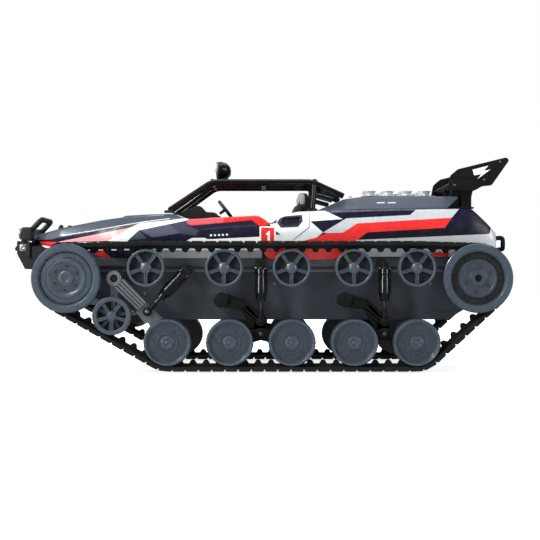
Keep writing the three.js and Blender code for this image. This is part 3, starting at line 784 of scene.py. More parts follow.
def front_arm(side):
    """Ribbed limb to the first road wheel, with the damper's clevis, and a limb to the tension wheel."""
    top = pivot("front_arm_left_swing")
    axle = pivot("road_wheel_left_1_spin")
    idle = pivot("tension_wheel_left_spin")
    mould = Mould()
    along = (FRONT_LOW - top).normalized()
    across = Vector((-along.y, along.x))
    mould.add(
        ARM_GREY,
        prism(capsule(top, FRONT_LOW, 6.4, 5.2), ARM_IN, ARM_OUT - 0.4, 0.4, side),
        prism(capsule(FRONT_LOW, axle, 5.4, 6.8), ARM_IN, ARM_OUT, 0.4, side),
        collar(3.6, 7, ARM_IN, BEAM_OUT, 0.5, 36, side, top),
        collar(3.6, 5.2, ARM_IN, BEAM_OUT + 0.5, 0.3, 30, side, top),
        collar(4.3, 7, ARM_IN, BEAM_OUT, 0.5, 36, side, axle),
    )
    mould.add(ARM_GREY, *ribs(top, FRONT_LOW, (-4.6, -1.5, 1.5, 4.6), (1.15, 1.05, 1.05, 1.15),
                              ARM_OUT - 0.8, ARM_OUT + 3.4, side, 6, -7, 0.9))
    cheek = [FRONT_LOW + Vector(corner) for corner in
             ((-11.3, 0), (-4, 5.3), (3, 3), (5, -1), (4, -7.3), (-2.4, -11.7))]
    mould.add(ARM_GREY, slab(cheek, 1.2, 3, ARM_IN, ARM_OUT + 0.1, 0.4, side))
    mould.add(ARM_GREY, collar(1.7, 4.4, ARM_OUT - 0.5, ARM_OUT + 0.2, 0.2, 28, side, FRONT_LOW))
    mould.add(STEEL, disc(1.5, ARM_IN, BEAM_OUT + 0.3, 0.2, 16, side, FRONT_LOW))
    mould.add(STEEL, screw(2.3, BEAM_OUT + 0.2, side, FRONT_LOW, 1.2))
    link = [FRONT_LOW + along * 5 + across * 4.4, FRONT_LOW + along * 17 + across * 5]
    rod = [(p.x, side * (ARM_OUT + 2.2), p.y) for p in link]
    mould.add(STEEL, tube(rod, 0.9, steps=12))
    for offset in (-3.4, 0, 3.4):
        step = Vector((offset, offset * 0.3))
        mould.add(ARM_GREY, prism(capsule(top + step * 0.8, idle + step * 0.3, 1.25, 1.25, 6), ARM_IN + 0.2,
                                  ARM_OUT - 0.5, 0.4, side))
    mould.add(ARM_GREY, prism(capsule(top, idle, 3.2, 4.2), ARM_IN + 0.6, ARM_OUT - 1.2, 0.3, side))
    mould.add(ARM_GREY, collar(2.5, 4.8, ARM_IN, ARM_OUT, 0.4, 28, side, idle))
    return mould.mesh("front_arm")


def bogie_arm(side, n):
    """Black cranked arm: pivot boss, elbow, ribbed lower limb and the casting that carries the bogie beam."""
    top = pivot(f"bogie_arm_left_{n}_swing")
    hub = pivot(f"bogie_beam_left_{n}_rock")
    low = Vector((hub.x, BOGIE_LOW_Z))
    elbow = Vector((hub.x - 17.8, 61))
    mould = Mould()
    mould.add(
        ARM_BLACK,
        prism(capsule(top, elbow, 6.2, 5.2), ARM_IN, ARM_OUT + 0.4, 0.5, side),
        prism(capsule(elbow, low, 5.4, 4.8), ARM_IN, ARM_OUT, 0.4, side),
        collar(3.6, 7, ARM_IN, BEAM_OUT - 0.4, 0.6, 40, side, top),
        disc(6.1, ARM_OUT + 4, BEAM_OUT + 0.2, 0.5, 36, side, top, dome=0.3),
    )
    mould.add(ARM_BLACK, *ribs(elbow, low, (-4.2, -1.2, 3.6), 0.85, ARM_OUT - 0.6, ARM_OUT + 3.2, side,
                               1, 2, 0.8))
    mould.add(ARM_BLACK, *ribs(top, elbow, (-4, 4), 0.9, ARM_OUT - 0.4, ARM_OUT + 2.2, side, 5, 0, 0.95))
    cheek = [(low.x - 6.4, low.y - 1), (low.x - 4, low.y + 5), (low.x + 4, low.y + 5), (low.x + 5, low.y + 1),
             (hub.x + 6, hub.y - 2), (hub.x + 3, hub.y - 6), (hub.x - 4, hub.y - 6), (hub.x - 8, hub.y + 2)]
    mould.add(ARM_BLACK, slab(cheek, 1.4, 3, ARM_IN, ARM_OUT, 0.5, side))
    corners = ((-19, 22.5), (-15.5, 31.5), (-3, 16), (4.2, 12), (4.5, 4), (3, -5), (-5, -5), (-8, 3),
               (-13, 11.5))
    casting = [hub + Vector(corner) for corner in corners]
    mould.add(ARM_BLACK, slab(casting, 1.2, 3, ARM_IN, ARM_OUT, 0.5, side))
    mould.add(STEEL, disc(1.5, ARM_IN, BEAM_OUT + 0.2, 0.2, 16, side, low))
    mould.add(ARM_BLACK, screw(2.3, BEAM_OUT + 0.1, side, low, 0.9))
    mould.add(ARM_BLACK, disc(2.6, ARM_IN, BEAM_OUT + 0.2, 0.3, 24, side, hub))
    mould.add(STEEL, screw(1.7, BEAM_OUT + 0.9, side, hub, 0.8))
    mould.add(ARM_BLACK, disc(3.4, BEAM_OUT + 0.35, BEAM_OUT + 1.2, 0.3, 28, side, hub))
    return mould.mesh("bogie_arm")


def bogie_beam(side, n):
    """Walking beam between two road wheels."""
    hub = pivot(f"bogie_beam_left_{n}_rock")
    ends = [pivot(f"road_wheel_left_{k}_spin") for k in (2 * n, 2 * n + 1)]
    mould = Mould()
    for end in ends:
        mould.add(ARM_BLACK, prism(capsule(end, hub, 6.2, 5.4), BEAM_IN, BEAM_OUT - 0.9, 0.4, side))
        mould.add(ARM_BLACK, collar(4.3, 6.4, BEAM_IN, BEAM_OUT, 0.4, 32, side, end))
        mould.add(ARM_BLACK, *ribs(end, hub, (-4.6, 0, 4.6), 0.8, BEAM_IN + 1, BEAM_OUT, side, 6, -5, 0.9))
    mould.add(ARM_BLACK, collar(2.9, 5.6, BEAM_IN, BEAM_OUT, 0.4, 30, side, hub))
    return mould.mesh("bogie_beam")


def hung(bm, top, low, side):
    """Moves an island drawn along +Y from the origin to run from the top eye toward the lower eye."""
    run = low - top
    return moved(aimed(bm, (run.x, 0, run.y)), top.x, side * BEAM_MID, top.y)


def damper(side, top, low):
    """Gloss cylinder with a bolted flange under an upper eye."""
    mould = Mould()
    line = [(2.2, 3.6), (5.2, 3.6), (6.2, 4.4), (6.2, 9), (5.7, 9.5), (5.7, 11.6), (6.2, 12.1), (6.2, 26.4),
            (5.6, 27.2), (4.6, 30.6), (4.4, 34), (2.2, 34), (2.2, 12)]
    mould.add(DAMPER, hung(turned(rounded(line, 0.35, 3), 44), top, low, side))
    mould.add(DAMPER, collar(1.7, 4.2, BEAM_MID - 2, BEAM_MID + 2, 0.5, 32, side, top))
    neck = [(0, 2.6), (2.6, 2.6), (3, 5), (0, 5)]
    mould.add(DAMPER, hung(spun(neck, 0.3, 2, 24), top, low, side))
    for x in (-4.6, 4.6):
        stud = spun([(0, 0), (0.9, 0), (0.9, 1.2), (0, 1.4)], 0.25, 2, 12)
        bmesh.ops.translate(stud, verts=stud.verts[:], vec=(x, 2.7, 0.6))
        mould.add(STEEL, hung(stud, top, low, side))
    return mould.mesh("damper")


def damper_rod(side, top, low):
    length = (low - top).length
    mould = Mould()
    shaft = [(0, 17), (1.5, 17), (1.5, length - 3.4), (0, length - 3.4)]
    mould.add(DAMPER, hung(spun(shaft, 0.3, 2, 24), top, low, side))
    boot = [(1.4, 40.6), (2.2, 41), (2.5, 42.4), (2.5, length - 4), (2.1, length - 2.6), (1.4, length - 2.6)]
    mould.add(ARM_BLACK, hung(turned(rounded(boot, 0.3, 3), 28), top, low, side))
    mould.add(ARM_BLACK, collar(1.7, 4.2, BEAM_MID - 2, BEAM_MID + 2, 0.5, 32, side, low))
    return mould.mesh("damper_rod")


for label, side in SIDES:
    stand_in(front_arm(side), f"front_arm_{label}", f"front_arm_{label}")
    for n in (1, 2):
        for kind, build in (("bogie_arm", bogie_arm), ("bogie_beam", bogie_beam)):
            name = f"{kind}_{label}_{n}"
            stand_in(build(side, n), name, name)
    for n in (1, 2, 3):
        top = pivot(f"shock_left_{n}_swing")
        low = FRONT_LOW if n == 1 else Vector((top.x, BOGIE_LOW_Z))
        stand_in(damper(side, top, low), f"shock_body_{label}_{n}", f"shock_body_{label}_{n}")
        stand_in(damper_rod(side, top, low), f"shock_rod_{label}_{n}", f"shock_rod_{label}_{n}")

# ---------------------------------------------------------------- hull

HULL_W = 52.0
WALL = 3.0
DECK_Z = 108.5
BELLY_Z = 46.0
# The side plates stop lower at the nose, where the body's skirt hangs over them.
NOSE_CUT_Z = 104.4
POST_R = 5.6
POST_PIN_R = 3.2


def hull():
    """Tub with a ribbed floor, stepped side plates, pivot posts and the shafts' bosses."""
    mould = Mould()
    outer = [(-206, DECK_Z), (-206, 72), (-168, 66), (-104, BELLY_Z), (167, BELLY_Z), (181, 55), (206, 66),
             (206, DECK_Z)]
    inner = [(203, DECK_Z), (203, 68), (179.5, 58), (166, BELLY_Z + WALL), (-103, BELLY_Z + WALL),
             (-167.5, 69), (-203, 74.5), (-203, DECK_Z)]
    mould.add(HULL, prism(outer + inner, -HULL_W + 0.5, HULL_W - 0.5, 0.3))
    nose_cut = [(-116, DECK_Z), (-121, NOSE_CUT_Z), (-160, NOSE_CUT_Z), (-168, DECK_Z)]
    plate = rounded(outer + nose_cut, 2.0, 3)
    posts = [pivot(f"{arm}_swing") for arm in ("front_arm_left", "bogie_arm_left_1", "bogie_arm_left_2")]
    post_end = ARM_IN - 0.6
    eyes = [pivot(f"shock_left_{n}_swing") for n in (1, 2, 3)]
    for _, side in SIDES:
        mould.add(HULL, prism(plate, HULL_W - WALL, HULL_W, 0.5, side))
        ledge = [(-118, DECK_Z - 3.4), (205, DECK_Z - 3.4), (205, DECK_Z), (-116, DECK_Z)]
        mould.add(LEDGE, prism(ledge, HULL_W - 1, HULL_W + 2.4, 0.4, side))
        band = [(-204, 96.4), (204, 96.4), (205, 104.6), (-205, 104.6)]
        mould.add(HULL_BAND, prism(band, HULL_W - 1, HULL_W + 2.2, 0.6, side))
        # Painted highlight: a lighter grey bead under the band, for the light line along the plate's step.
        bead = [(-203, 91.2), (203, 91.2), (203, 93.4), (-203, 93.4)]
        mould.add(ARM_GREY, prism(bead, HULL_W - 1, HULL_W + 1, 0.3, side))
        crease = [(-102, 52.4), (172, 52.4), (170, 53.6), (-104, 53.6)]
        mould.add(HULL, prism(crease, HULL_W - 1, HULL_W + 0.5, 0.2, side))
        for at in posts:
            mould.add(HULL, disc(POST_R + 3, HULL_W - 1, HULL_W + 2.4, 0.8, 36, side, at))
            mould.add(HULL, disc(POST_R, HULL_W - 1, post_end, 0.5, 32, side, at))
            mould.add(DAMPER, disc(POST_PIN_R, post_end - 1, BEAM_OUT - 2.4, 0.4, 24, side, at))
            mould.add(WHEEL_SHADE_AND_BLACK, screw(2.2, BEAM_OUT - 2.4, side, at, 0.5))
        for at in eyes:
            mould.add(HULL, disc(5.6, HULL_W - 1, HULL_W + 3.4, 0.6, 32, side, at))
            mould.add(HULL, disc(3.4, HULL_W - 1, BEAM_IN - 2.4, 0.4, 28, side, at))
            mould.add(DAMPER, disc(1.5, BEAM_IN - 3, BEAM_OUT + 0.2, 0.2, 16, side, at))
        for node in ("idler_left", "sprocket_left"):
            mould.add(HULL, collar(4.5, 11, HULL_W - 1, HULL_W + 5, 0.8, 40, side, station(middle(node))))
        for n in range(1, 6):
            at = station(middle(f"return_rollers_{n}"))
            mould.add(HULL_BAND, collar(2.7, 5, HULL_W - 1, HULL_W + 6, 0.6, 28, side, at))
        for at in ((-133, 85.5), (-119.9, 70.2), (2, 80), (150, 80)):
            mould.add(BRUSHED, screw(1.6, HULL_W + 0.2, side, at, 0.9))
    for k in range(9):
        x = -80 + 28 * k
        mould.add(HULL, block(x, x + 2, -38, 38, BELLY_Z + WALL - 1, BELLY_Z + WALL + 1.4, 0.4))
    for x, y in ((-90, 40), (-90, -40), (0, 40), (0, -40), (90, 40), (90, -40), (155, 40), (155, -40)):
        mould.add(HULL_BAND, bolt((x, y, BELLY_Z + 0.05), UP, 2.4, 0, 0.5, 1.2, 0.5, 0.1, 0.1, 1, 20))
    return mould.mesh("hull")


stand_in(hull(), "hull_tub")

# ---------------------------------------------------------------- body shell

# One row for each station: x, lower edge z and half width, then crease, chine and plateau as (half width, z),
# and crown z.
SHELL = [
    (-232, 119.0, 13, (15.5, 121.4), (16, 123.4), (14, 126.6), 127.6),
    (-216, 116.0, 27, (29.5, 119.8), (30.5, 122.4), (25.5, 130.3), 131.6),
    (-203, 112.4, 38, (41, 119.4), (42, 124.6), (35.5, 133.2), 134.6),
    (-165, 104.8, 50, (54, 120.5), (54.5, 130.4), (44, 139.8), 141.8),
    (-145, 104.2, 56, (60, 122.5), (58.5, 133.8), (47, 142.6), 144.4),
    (-120, 104, 59, (62, 125), (60, 137.9), (49.5, 144.4), 146),
    (-92, 104, 60, (62, 127), (60, 141.4), (52, 146.1), 147.6),
    (-78, 104, 60, (62, 128), (59.5, 140.4), (54, 141.2), 141.4),
    (-12, 104, 60, (62, 129), (58, 144.1), (53.5, 144.6), 144.7),
    (-2, 103.5, 60, (62, 128.5), (58.5, 135.4), (54, 136.3), 136.5),
    (8, 103, 60, (62, 129), (57.5, 142.3), (52.5, 143.8), 144),
    (24, 102.6, 60, (62, 130), (57, 146.6), (51, 148.4), 149),
    (44, 102.4, 59.5, (61, 131), (56, 147.8), (50, 149.2), 149.6),
    (76, 105, 59, (60, 131.5), (55, 148.6), (49, 149.9), 150.3),
    (189, 106, 56, (57, 130.5), (53, 151), (46.5, 152.3), 152.5),
    (207, 110, 54, (55, 125), (53.5, 133.4), (50, 134.3), 134.5),
    (211.5, 113, 53, (54, 120), (52.5, 126.6), (50, 127.3), 127.5),
]
COCKPIT_X = (-97.5, 40)
COCKPIT_W = 45.5
COCKPIT_FLOOR = 112.0
COCKPIT_LIP = 0.3
SHELL_STEP = 3.5

# The photographer's place, which the painted shapes are laid out from, and the plane they are drawn on.
EYE = Vector((-1.9, -1125, 83.4))
LIVERY_Y = -100.0


def section_at(x):
    """Every number of a station, straight between its neighbours."""
    x = max(SHELL[0][0], min(SHELL[-1][0], x))
    for before, after in zip(SHELL, SHELL[1:]):
        if x <= after[0]:
            break
    t = (x - before[0]) / (after[0] - before[0])

    def mix(a, b):
        return tuple(mix(p, q) for p, q in zip(a, b)) if isinstance(a, tuple) else a + (b - a) * t

    return mix(before, after)


def soft_section(x):
    """A station averaged over 3 mm each way, so that lengthwise corners are rounded."""
    rows = [section_at(x + step) for step in (-3, -1.5, 0, 1.5, 3)]

    def mean(parts):
        return tuple(mean(p) for p in zip(*parts)) if isinstance(parts[0], tuple) else sum(parts) / len(parts)

    return mean(rows)


def half_ring(x, open_cockpit):
    """Left half of a cross-section, from the bottom centre out and round to the top centre, as (y, z)."""
    _, edge_z, edge_w, crease, chine, plateau, crown = soft_section(x)
    floor = max(DECK_Z + 0.5, edge_z + 1)
    inset = edge_w - 4
    wide, high = plateau
    if open_cockpit:
        top = [(COCKPIT_W + 1, high - 0.2), (COCKPIT_W, COCKPIT_FLOOR), (0, COCKPIT_FLOOR)]
    else:
        rise = crown - high
        top = [(wide * 0.66, high + rise * 0.7), (wide * 0.33, high + rise * 0.95), (0, crown)]
    corners = [(0, floor), (inset - 1.5, floor), (inset, edge_z), (edge_w, edge_z)]
    corners += [crease, chine, plateau, *top]
    reach = [0, 0.8, 0.8, 1.0, 3.5, 1.6, 3.0, 1.2, 1.2, 0]
    return [(-y, z) for y, z in rounded(corners, reach, 3, closed=False)]


def half_shell():
    """The left half as an open skin whose seam is on the centre plane."""
    count = round((SHELL[-1][0] - SHELL[0][0]) / SHELL_STEP)
    stations = [SHELL[0][0] + (SHELL[-1][0] - SHELL[0][0]) * k / count for k in range(count + 1)]
    rings = [(x, COCKPIT_X[0] < x < COCKPIT_X[1]) for x in stations]
    front, rear = COCKPIT_X
    rings += [(front, False), (front + COCKPIT_LIP, True), (rear - COCKPIT_LIP, True), (rear, False)]
    rings.sort()
    bm = bmesh.new()
    rows = []
    for x, is_open in rings:
        rows.append([bm.verts.new((x, y, z)) for y, z in half_ring(x, is_open)])
    for end, nudge in ((0, -1.2), (-1, 1.2)):
        outline = half_ring(rings[end][0], False)
        mid = sum(z for _, z in outline) / len(outline)
        row = [bm.verts.new((rings[end][0] + nudge, y * 0.93, mid + (z - mid) * 0.8)) for y, z in outline]
        if end == 0:
            rows.insert(0, row)
        else:
            rows.append(row)
    for a, b in zip(rows, rows[1:]):
        for k in range(len(a) - 1):
            bm.faces.new((a[k], b[k], b[k + 1], a[k + 1]))
    bm.faces.new(rows[0])
    bm.faces.new(list(reversed(rows[-1])))
    bm.normal_update()
    return bm


def seen(point):
    """Where a point falls on the livery plane, as the eye sees it."""
    k = (LIVERY_Y - EYE.y) / (point.y - EYE.y)
    return Vector((EYE.x + (point.x - EYE.x) * k, EYE.z + (point.z - EYE.z) * k))


def inside(point, polygon):
    """Whether a point of the livery plane is within the polygon."""
    within = False
    for i, (x1, z1) in enumerate(polygon):
        x0, z0 = polygon[i - 1]
        if (z0 > point.y) != (z1 > point.y) and point.x < (x1 - x0) * (point.y - z0) / (z1 - z0) + x0:
            within = not within
    return within


def score(bm, polygon):
    """Cuts the flank along a painted outline, so that paint changes on an edge of the mesh."""
    for i, here in enumerate(polygon):
        a, b = Vector(polygon[i - 1]), Vector(here)
        run = b - a
        low_x, high_x = min(a.x, b.x) - 0.1, max(a.x, b.x) + 0.1
        low_z, high_z = min(a.y, b.y) - 0.1, max(a.y, b.y) + 0.1
        crossed = []
        for face in bm.faces:
            if face.normal.y > -0.12:
                continue
            places = [seen(v.co) for v in face.verts]
            xs, zs = [p.x for p in places], [p.y for p in places]
            if max(xs) < low_x or min(xs) > high_x or max(zs) < low_z or min(zs) > high_z:
                continue
            offs = [run.cross(p - a) for p in places]
            if min(offs) < -1e-3 and max(offs) > 1e-3:
                crossed.append(face)
        if not crossed:
            continue
        sight_a, sight_b = (Vector((end.x, LIVERY_Y, end.y)) - EYE for end in (a, b))
        across = sight_a.cross(sight_b).normalized()
        edges = list({e for f in crossed for e in f.edges})
        verts = list({v for f in crossed for v in f.verts})
        bmesh.ops.bisect_plane(bm, geom=crossed + edges + verts, dist=1e-3, plane_co=EYE, plane_no=across)
    bm.normal_update()


def dot(centre, radius, sides=8):
    return [Vector(centre) + polar(radius, 2 * math.pi * (k + 0.5) / sides) for k in range(sides)]


PLATE = [(-11.3, 132.0), (3.3, 132.0), (3.3, 117.9), (-11.3, 117.9)]
PLATE_FIELD = [(-10, 130.7), (2.0, 130.7), (2.0, 117.9), (-10, 117.9)]
NUMERAL = [(-5.4, 125.2), (-3.1, 127.7), (-2.0, 127.7), (-2.0, 119.1), (-4.1, 119.1), (-4.1, 124.9),
           (-5.4, 123.9)]
VENT = [(4.2, 135.2), (8, 141), (27, 142.4), (27.7, 136.5), (23.5, 131.4), (8, 130.6)]
VENT_MOUTH = [(7.6, 135.5), (10, 139.5), (25.1, 140.6), (25.4, 137), (22.4, 133.2), (9.9, 132.5)]
DOOR_SEAM = [(33.3, 146.8), (33.9, 146.8), (33.9, 130.7), (19.6, 119.6), (19.2, 120.1), (33.3, 131.2)]
RAIL = [(-77.6, 134.4), (-76.6, 137.2), (-73.5, 138.1), (-12.2, 141.9), (-1.9, 133.5), (-10.8, 131.6),
        (-18.3, 137.2), (-73, 132.4)]

# Painted shapes, in the order they are laid over the navy flank. A few of them are painted glare and
# highlights.
LIVERY = [
    (NAVY_DEEP, [(70, 124.1), (86.2, 126.9), (156.4, 130.9), (206, 132.6), (206, 110), (70, 110)]),
    (SKIRT, [(-112, 111.5), (-9.1, 111.5), (-9.1, 100), (-112, 100)]),
    (WHITE, [(-176, 117.8), (-128, 117.8), (-124, 110.2), (-166, 110.2)]),
    # Red decals with painted glare that makes them pink, here and in the triangle two rows down.
    (RED_GLARE, [(-190, 117), (-177, 117), (-168, 110.2), (-180, 110.2)]),
    (RED, [(-162, 108), (-153, 109.8), (-145, 103), (-160, 102)]),
    (RED_GLARE, [(-194.4, 117.8), (-128.3, 130.9), (-148.6, 118.7)]),
    (RED, [(-210.1, 118.2), (-194.4, 117.8), (-201, 114.2), (-208.4, 113.3)]),
    # White paint behind the pink triangle. Its thin run along the chine to the front of the rail is a painted
    # highlight on the chine edge.
    (WHITE, [(-148.6, 118.7), (-128.3, 130.9), (-119.6, 134.8), (-71.6, 139.9), (-77.6, 137.2),
             (-120.8, 128.3), (-131.3, 118.2)]),
    (FACET_MID_AND_HIGHLIGHT, [(-120.8, 128.3), (-130, 119.6), (-113.6, 120.8)]),
    (FACET_LIGHT, [(-119.6, 128.5), (-93.3, 133.8), (-83.5, 125.7), (-108.2, 121.9)]),
    (FACET_MID_AND_HIGHLIGHT, [(-93.3, 133.8), (-77.6, 137.2), (-75.2, 132.3), (-66.2, 128.2), (-68.9, 123.2),
                 (-83.5, 125.7)]),
    # Painted highlight: a thin lighter line along the bevel just below the rail.
    (FACET_MID_AND_HIGHLIGHT, [(-65.7, 128.3), (-59.8, 129.3), (-42.6, 130.7), (-13.7, 132.8), (-13.7, 133.3),
                 (-42.6, 131.2), (-59.8, 129.8)]),
    (WHITE, [(-108, 110.4), (-104, 116), (-82, 117), (-76.4, 119.4), (-72.5, 121.4), (-60.8, 121.6),
             (-58.4, 120.2), (-11.3, 122.6), (-11.3, 110.4)]),
    (PEARL, [(-1.9, 133.9), (3.5, 134.8), (6.9, 143), (22.5, 148), (41.5, 149), (63.7, 138.6), (34.6, 136.5),
             (46.1, 126.5), (40.6, 122), (25.3, 118.2), (2.6, 118.2)]),
    (WHITE, [(33.9, 148.5), (41.5, 149), (63.7, 138.6), (34.6, 136.5), (33.9, 137)]),
    (SILVER, [(46.1, 126.5), (67.2, 139.2), (124.8, 142.2), (132.4, 149), (172.2, 151.3), (162.7, 139.8),
              (77, 134.6), (64.2, 126.3), (49.1, 125.8)]),
    (RED, [(77, 134.6), (162.7, 139.8), (156.4, 130.6), (86.2, 126.5), (75.9, 118.7), (27.7, 118.7),
           (40.6, 122), (49.1, 125.8), (64.2, 126.3)]),
    (RED, [(-9.1, 118.7), (75.9, 118.7), (66, 109.6), (54, 99), (-1.9, 99), (-9.1, 110.6)]),
    (SILVER, [(75.9, 119.6), (196.6, 125), (198.1, 130.9), (202.6, 126.8), (203.5, 99), (75.9, 99)]),
    (RED, [(143, 107), (151, 109), (161, 107.5), (157, 101), (149, 101)]),
    (COVER, [(43.6, 146.8), (53.7, 143.9), (124.8, 147.9), (131.5, 150.4), (131.5, 156), (43.6, 156)]),
    (SEAM, DOOR_SEAM),
    (SEAM, VENT),
    (NAVY, VENT_MOUTH),
    (WHITE, PLATE),
    (RED, PLATE_FIELD),
    (WHITE, NUMERAL),
    (NAVY, [(3.3, 127.6), (8.2, 124.4), (3.3, 124.4)]),
]
RAIL_SPLIT = -44.0
# Mirroring the numeral about the plate's middle, then moving it by this, puts it where it reads on the right.
NUMERAL_SHIFT = -1.4
# What counts as painted from above: faces that look up, over this height and within this half width.
TOP_FACING = 0.8
TOP_Z = 124
TOP_W = 58
HOOD_END = -77


def flank_paint(point, polygons):
    """The last painted shape that holds the point."""
    colour = None
    for material, polygon in polygons:
        if inside(point, polygon):
            colour = material
    return colour


def top_paint(x, y):
    """The paint of the hood, cockpit edges and deck seen from above."""
    if x < COCKPIT_X[0] + 20:
        return SLATE
    if x < COCKPIT_X[1] + 6:
        return RED if x < -12 else PEARL
    return WHITE if x < 62 - abs(y) * 0.2 else NAVY


def painted_half(mould, side):
    """One half of the body, scored and painted, with its raised and sunk details."""
    bm = half_shell()
    polygons = list(LIVERY)
    if side > 0:
        swap = PLATE[0][0] + PLATE[1][0] + NUMERAL_SHIFT
        turned_back = [(swap - x, z) for x, z in NUMERAL]
        polygons = [(m, turned_back if p is NUMERAL else p) for m, p in polygons]
    polygons += [(WHITE, dot((-55.3 + 3.6 * k, 123.8 + 0.15 * k), 1.05)) for k in range(5)]
    for _, polygon in polygons:
        score(bm, polygon)
    score(bm, RAIL)
    score(bm, [(RAIL_SPLIT, 132), (RAIL_SPLIT, 142)])
    raised = {"rail": [], "plate": [], "seam": [], "mouth": []}
    for face in bm.faces:
        centre = face.calc_center_median()
        spot = seen(centre)
        colour = NAVY
        on_top = face.normal.z > TOP_FACING and centre.z > TOP_Z and abs(centre.y) < TOP_W
        in_tub = COCKPIT_X[0] < centre.x < COCKPIT_X[1] and abs(centre.y) < COCKPIT_W + 0.9
        above_chine = centre.x < HOOD_END and centre.z > soft_section(centre.x)[4][1] - 0.4
        if in_tub:
            colour = INTERIOR
        elif inside(spot, RAIL) and not on_top:
            colour = ROSE if spot.x < RAIL_SPLIT else RED
            raised["rail"].append(face)
        elif on_top:
            colour = top_paint(centre.x, centre.y)
        elif face.normal.y < -0.1:
            colour = flank_paint(spot, polygons) or (SLATE if above_chine else NAVY)
        elif face.normal.z < -0.5:
            colour = INTERIOR
        if colour is not INTERIOR and face.normal.y < -0.4:
            if inside(spot, PLATE):
                raised["plate"].append(face)
            elif inside(spot, DOOR_SEAM):
                raised["seam"].append(face)
            elif inside(spot, VENT_MOUTH):
                raised["mouth"].append(face)
        face.material_index = mould.index(colour)
    relief = (("rail", 0.5, 0.7), ("plate", 0.15, 0.35), ("seam", 0.1, -0.5), ("mouth", 0.5, -2.2))
    for key, thickness, depth in relief:
        bmesh.ops.inset_region(bm, faces=raised[key], thickness=thickness, depth=depth, use_even_offset=True)
    if side > 0:
        bmesh.ops.scale(bm, verts=bm.verts[:], vec=(1, -1, 1))
        bmesh.ops.reverse_faces(bm, faces=bm.faces[:])
    return bm


def smooth_like(mesh, pattern):
    """Gives each corner the normal of the uncut skin under it, where the two agree."""
    tree = BVHTree.FromBMesh(pattern)
    pattern.faces.ensure_lookup_table()
    normals = []
    for polygon in mesh.polygons:
        for k in polygon.loop_indices:
            co = mesh.vertices[mesh.loops[k].vertex_index].co
            spot, _, index, _ = tree.find_nearest(Vector((co.x, -abs(co.y), co.z)))
            weights = [(1 / ((v.co - spot).length + 1e-3) ** 2, v.normal) for v in pattern.faces[index].verts]
            normal = sum((n * w for w, n in weights), Vector()).normalized()
            if co.y > 0:
                normal.y = -normal.y
            normals.append(normal if normal.dot(polygon.normal) > 0.86 else Vector())
    mesh.normals_split_custom_set(normals)


def body_shell():
    mould = Mould()
    for _, side in SIDES:
        mould.keep(painted_half(mould, side))
    bmesh.ops.remove_doubles(mould.bm, verts=[v for v in mould.bm.verts if abs(v.co.y) < 1e-4], dist=1e-3)
    mesh = bpy.data.meshes.new("body_shell")
    mould.bm.to_mesh(mesh)
    mould.bm.free()
    for material in mould.materials:
        mesh.materials.append(material)
    mesh.set_sharp_from_angle(angle=math.radians(34))
    smooth_like(mesh, half_shell())
    mesh.transform(Matrix.Scale(MM, 4))
    return mesh


stand_in(body_shell(), "body_shell", weighted=False)


def hood_fittings():
    """Scoop and clips on the hood, a pale bead along both chines that paints the highlight on the chine edge,
    and louvres on the tail.
    """
    mould = Mould()
    scoop = []
    rows = ((-147, 20, 141, 144.6), (-143, 20, 141, 146.4), (-122, 21, 142, 147.6), (-99, 22, 144, 148.2))
    for x, half, low, high in rows:
        corners = [(-half, low), (half, low), (half - 3, high), (-half + 3, high)]
        scoop.append([Vector((x, y, z)) for y, z in rounded(corners, 1.4, 3)])
    mould.add(SLATE, loft(scoop))
    mould.add(SEAM, block(-147.6, -146.6, -16, 16, 142.4, 144.2, 0.3))
    for x, base, height in ((-205, 131.6, 5.4), (-196.5, 133.4, 3.2)):
        for y in (-22, 22):
            clip = [(x - 3.6, base), (x - 1.4, base + height), (x + 1.2, base + height), (x + 2.8, base)]
            mould.add(TRIM, slab(clip, 0.6, 2, y - 2, y + 2, 0.4))
    # Painted highlight: a pale bead along each chine stands for the light line on the chine edge.
    for side in (-1, 1):
        chines = [(x, *soft_section(x)[4]) for x in range(-176, -88, 8)]
        bead = [Vector((x, side * wide, z + 0.2)) for x, wide, z in chines]
        mould.add(PEARL, tube(bead, 0.5, steps=8))
    for k in range(3):
        z = 118.2 + 2.6 * k
        for y in (18, -44):
            mould.add(TRIM, block(211.6, 213.4, y, y + 26, z, z + 1.3, 0.4))
    return mould.mesh("hood_fittings")


show(hood_fittings(), "hood_fittings", "chassis", ())

# ---------------------------------------------------------------- engine cover, stacks


def engine_cover():
    """Faceted cover with four bolts, and two plain dashes on each flank."""
    mould = Mould()
    rows = ((44.5, 28, 151, 37, 150.6, 0.9), (69, 30, 161.5, 39, 151, 0.9), (84, 30, 163.6, 39, 151.4, 0.9),
            (168, 30, 164.3, 38, 152.8, 0.9), (179, 29.5, 164.3, 32, 162.6, 0.6))
    rings = []
    for x, top_w, top_z, foot_w, foot_z, skirt in rows:
        half = [(foot_w, foot_z - skirt), (foot_w, foot_z), (top_w, top_z)]
        corners = [(-y, z) for y, z in half] + half[::-1]
        rings.append([Vector((x, y, z)) for y, z in rounded(corners, [0.3, 0.3, 1.6, 1.6, 0.3, 0.3], 3)])
    mould.add(COVER, loft(rings))
    for x in (101, 111.5):
        for side in (-1, 1):
            mould.add(WHITE, tube([(x, side * 34.3, 157.4), (x + 7.5, side * 34.3, 157.8)], 0.6, steps=8))
    for x in (76, 172):
        for y in (-25, 25):
            mould.add(BRUSHED, bolt((x, y, 164.1), UP, 1.5, -0.6, 0.5, 0.7, 0.7, 0.3, 0.15, steps=16))
    return mould.mesh("engine_cover")


STACK_X = 96.3
STACK_PITCH = 17.9


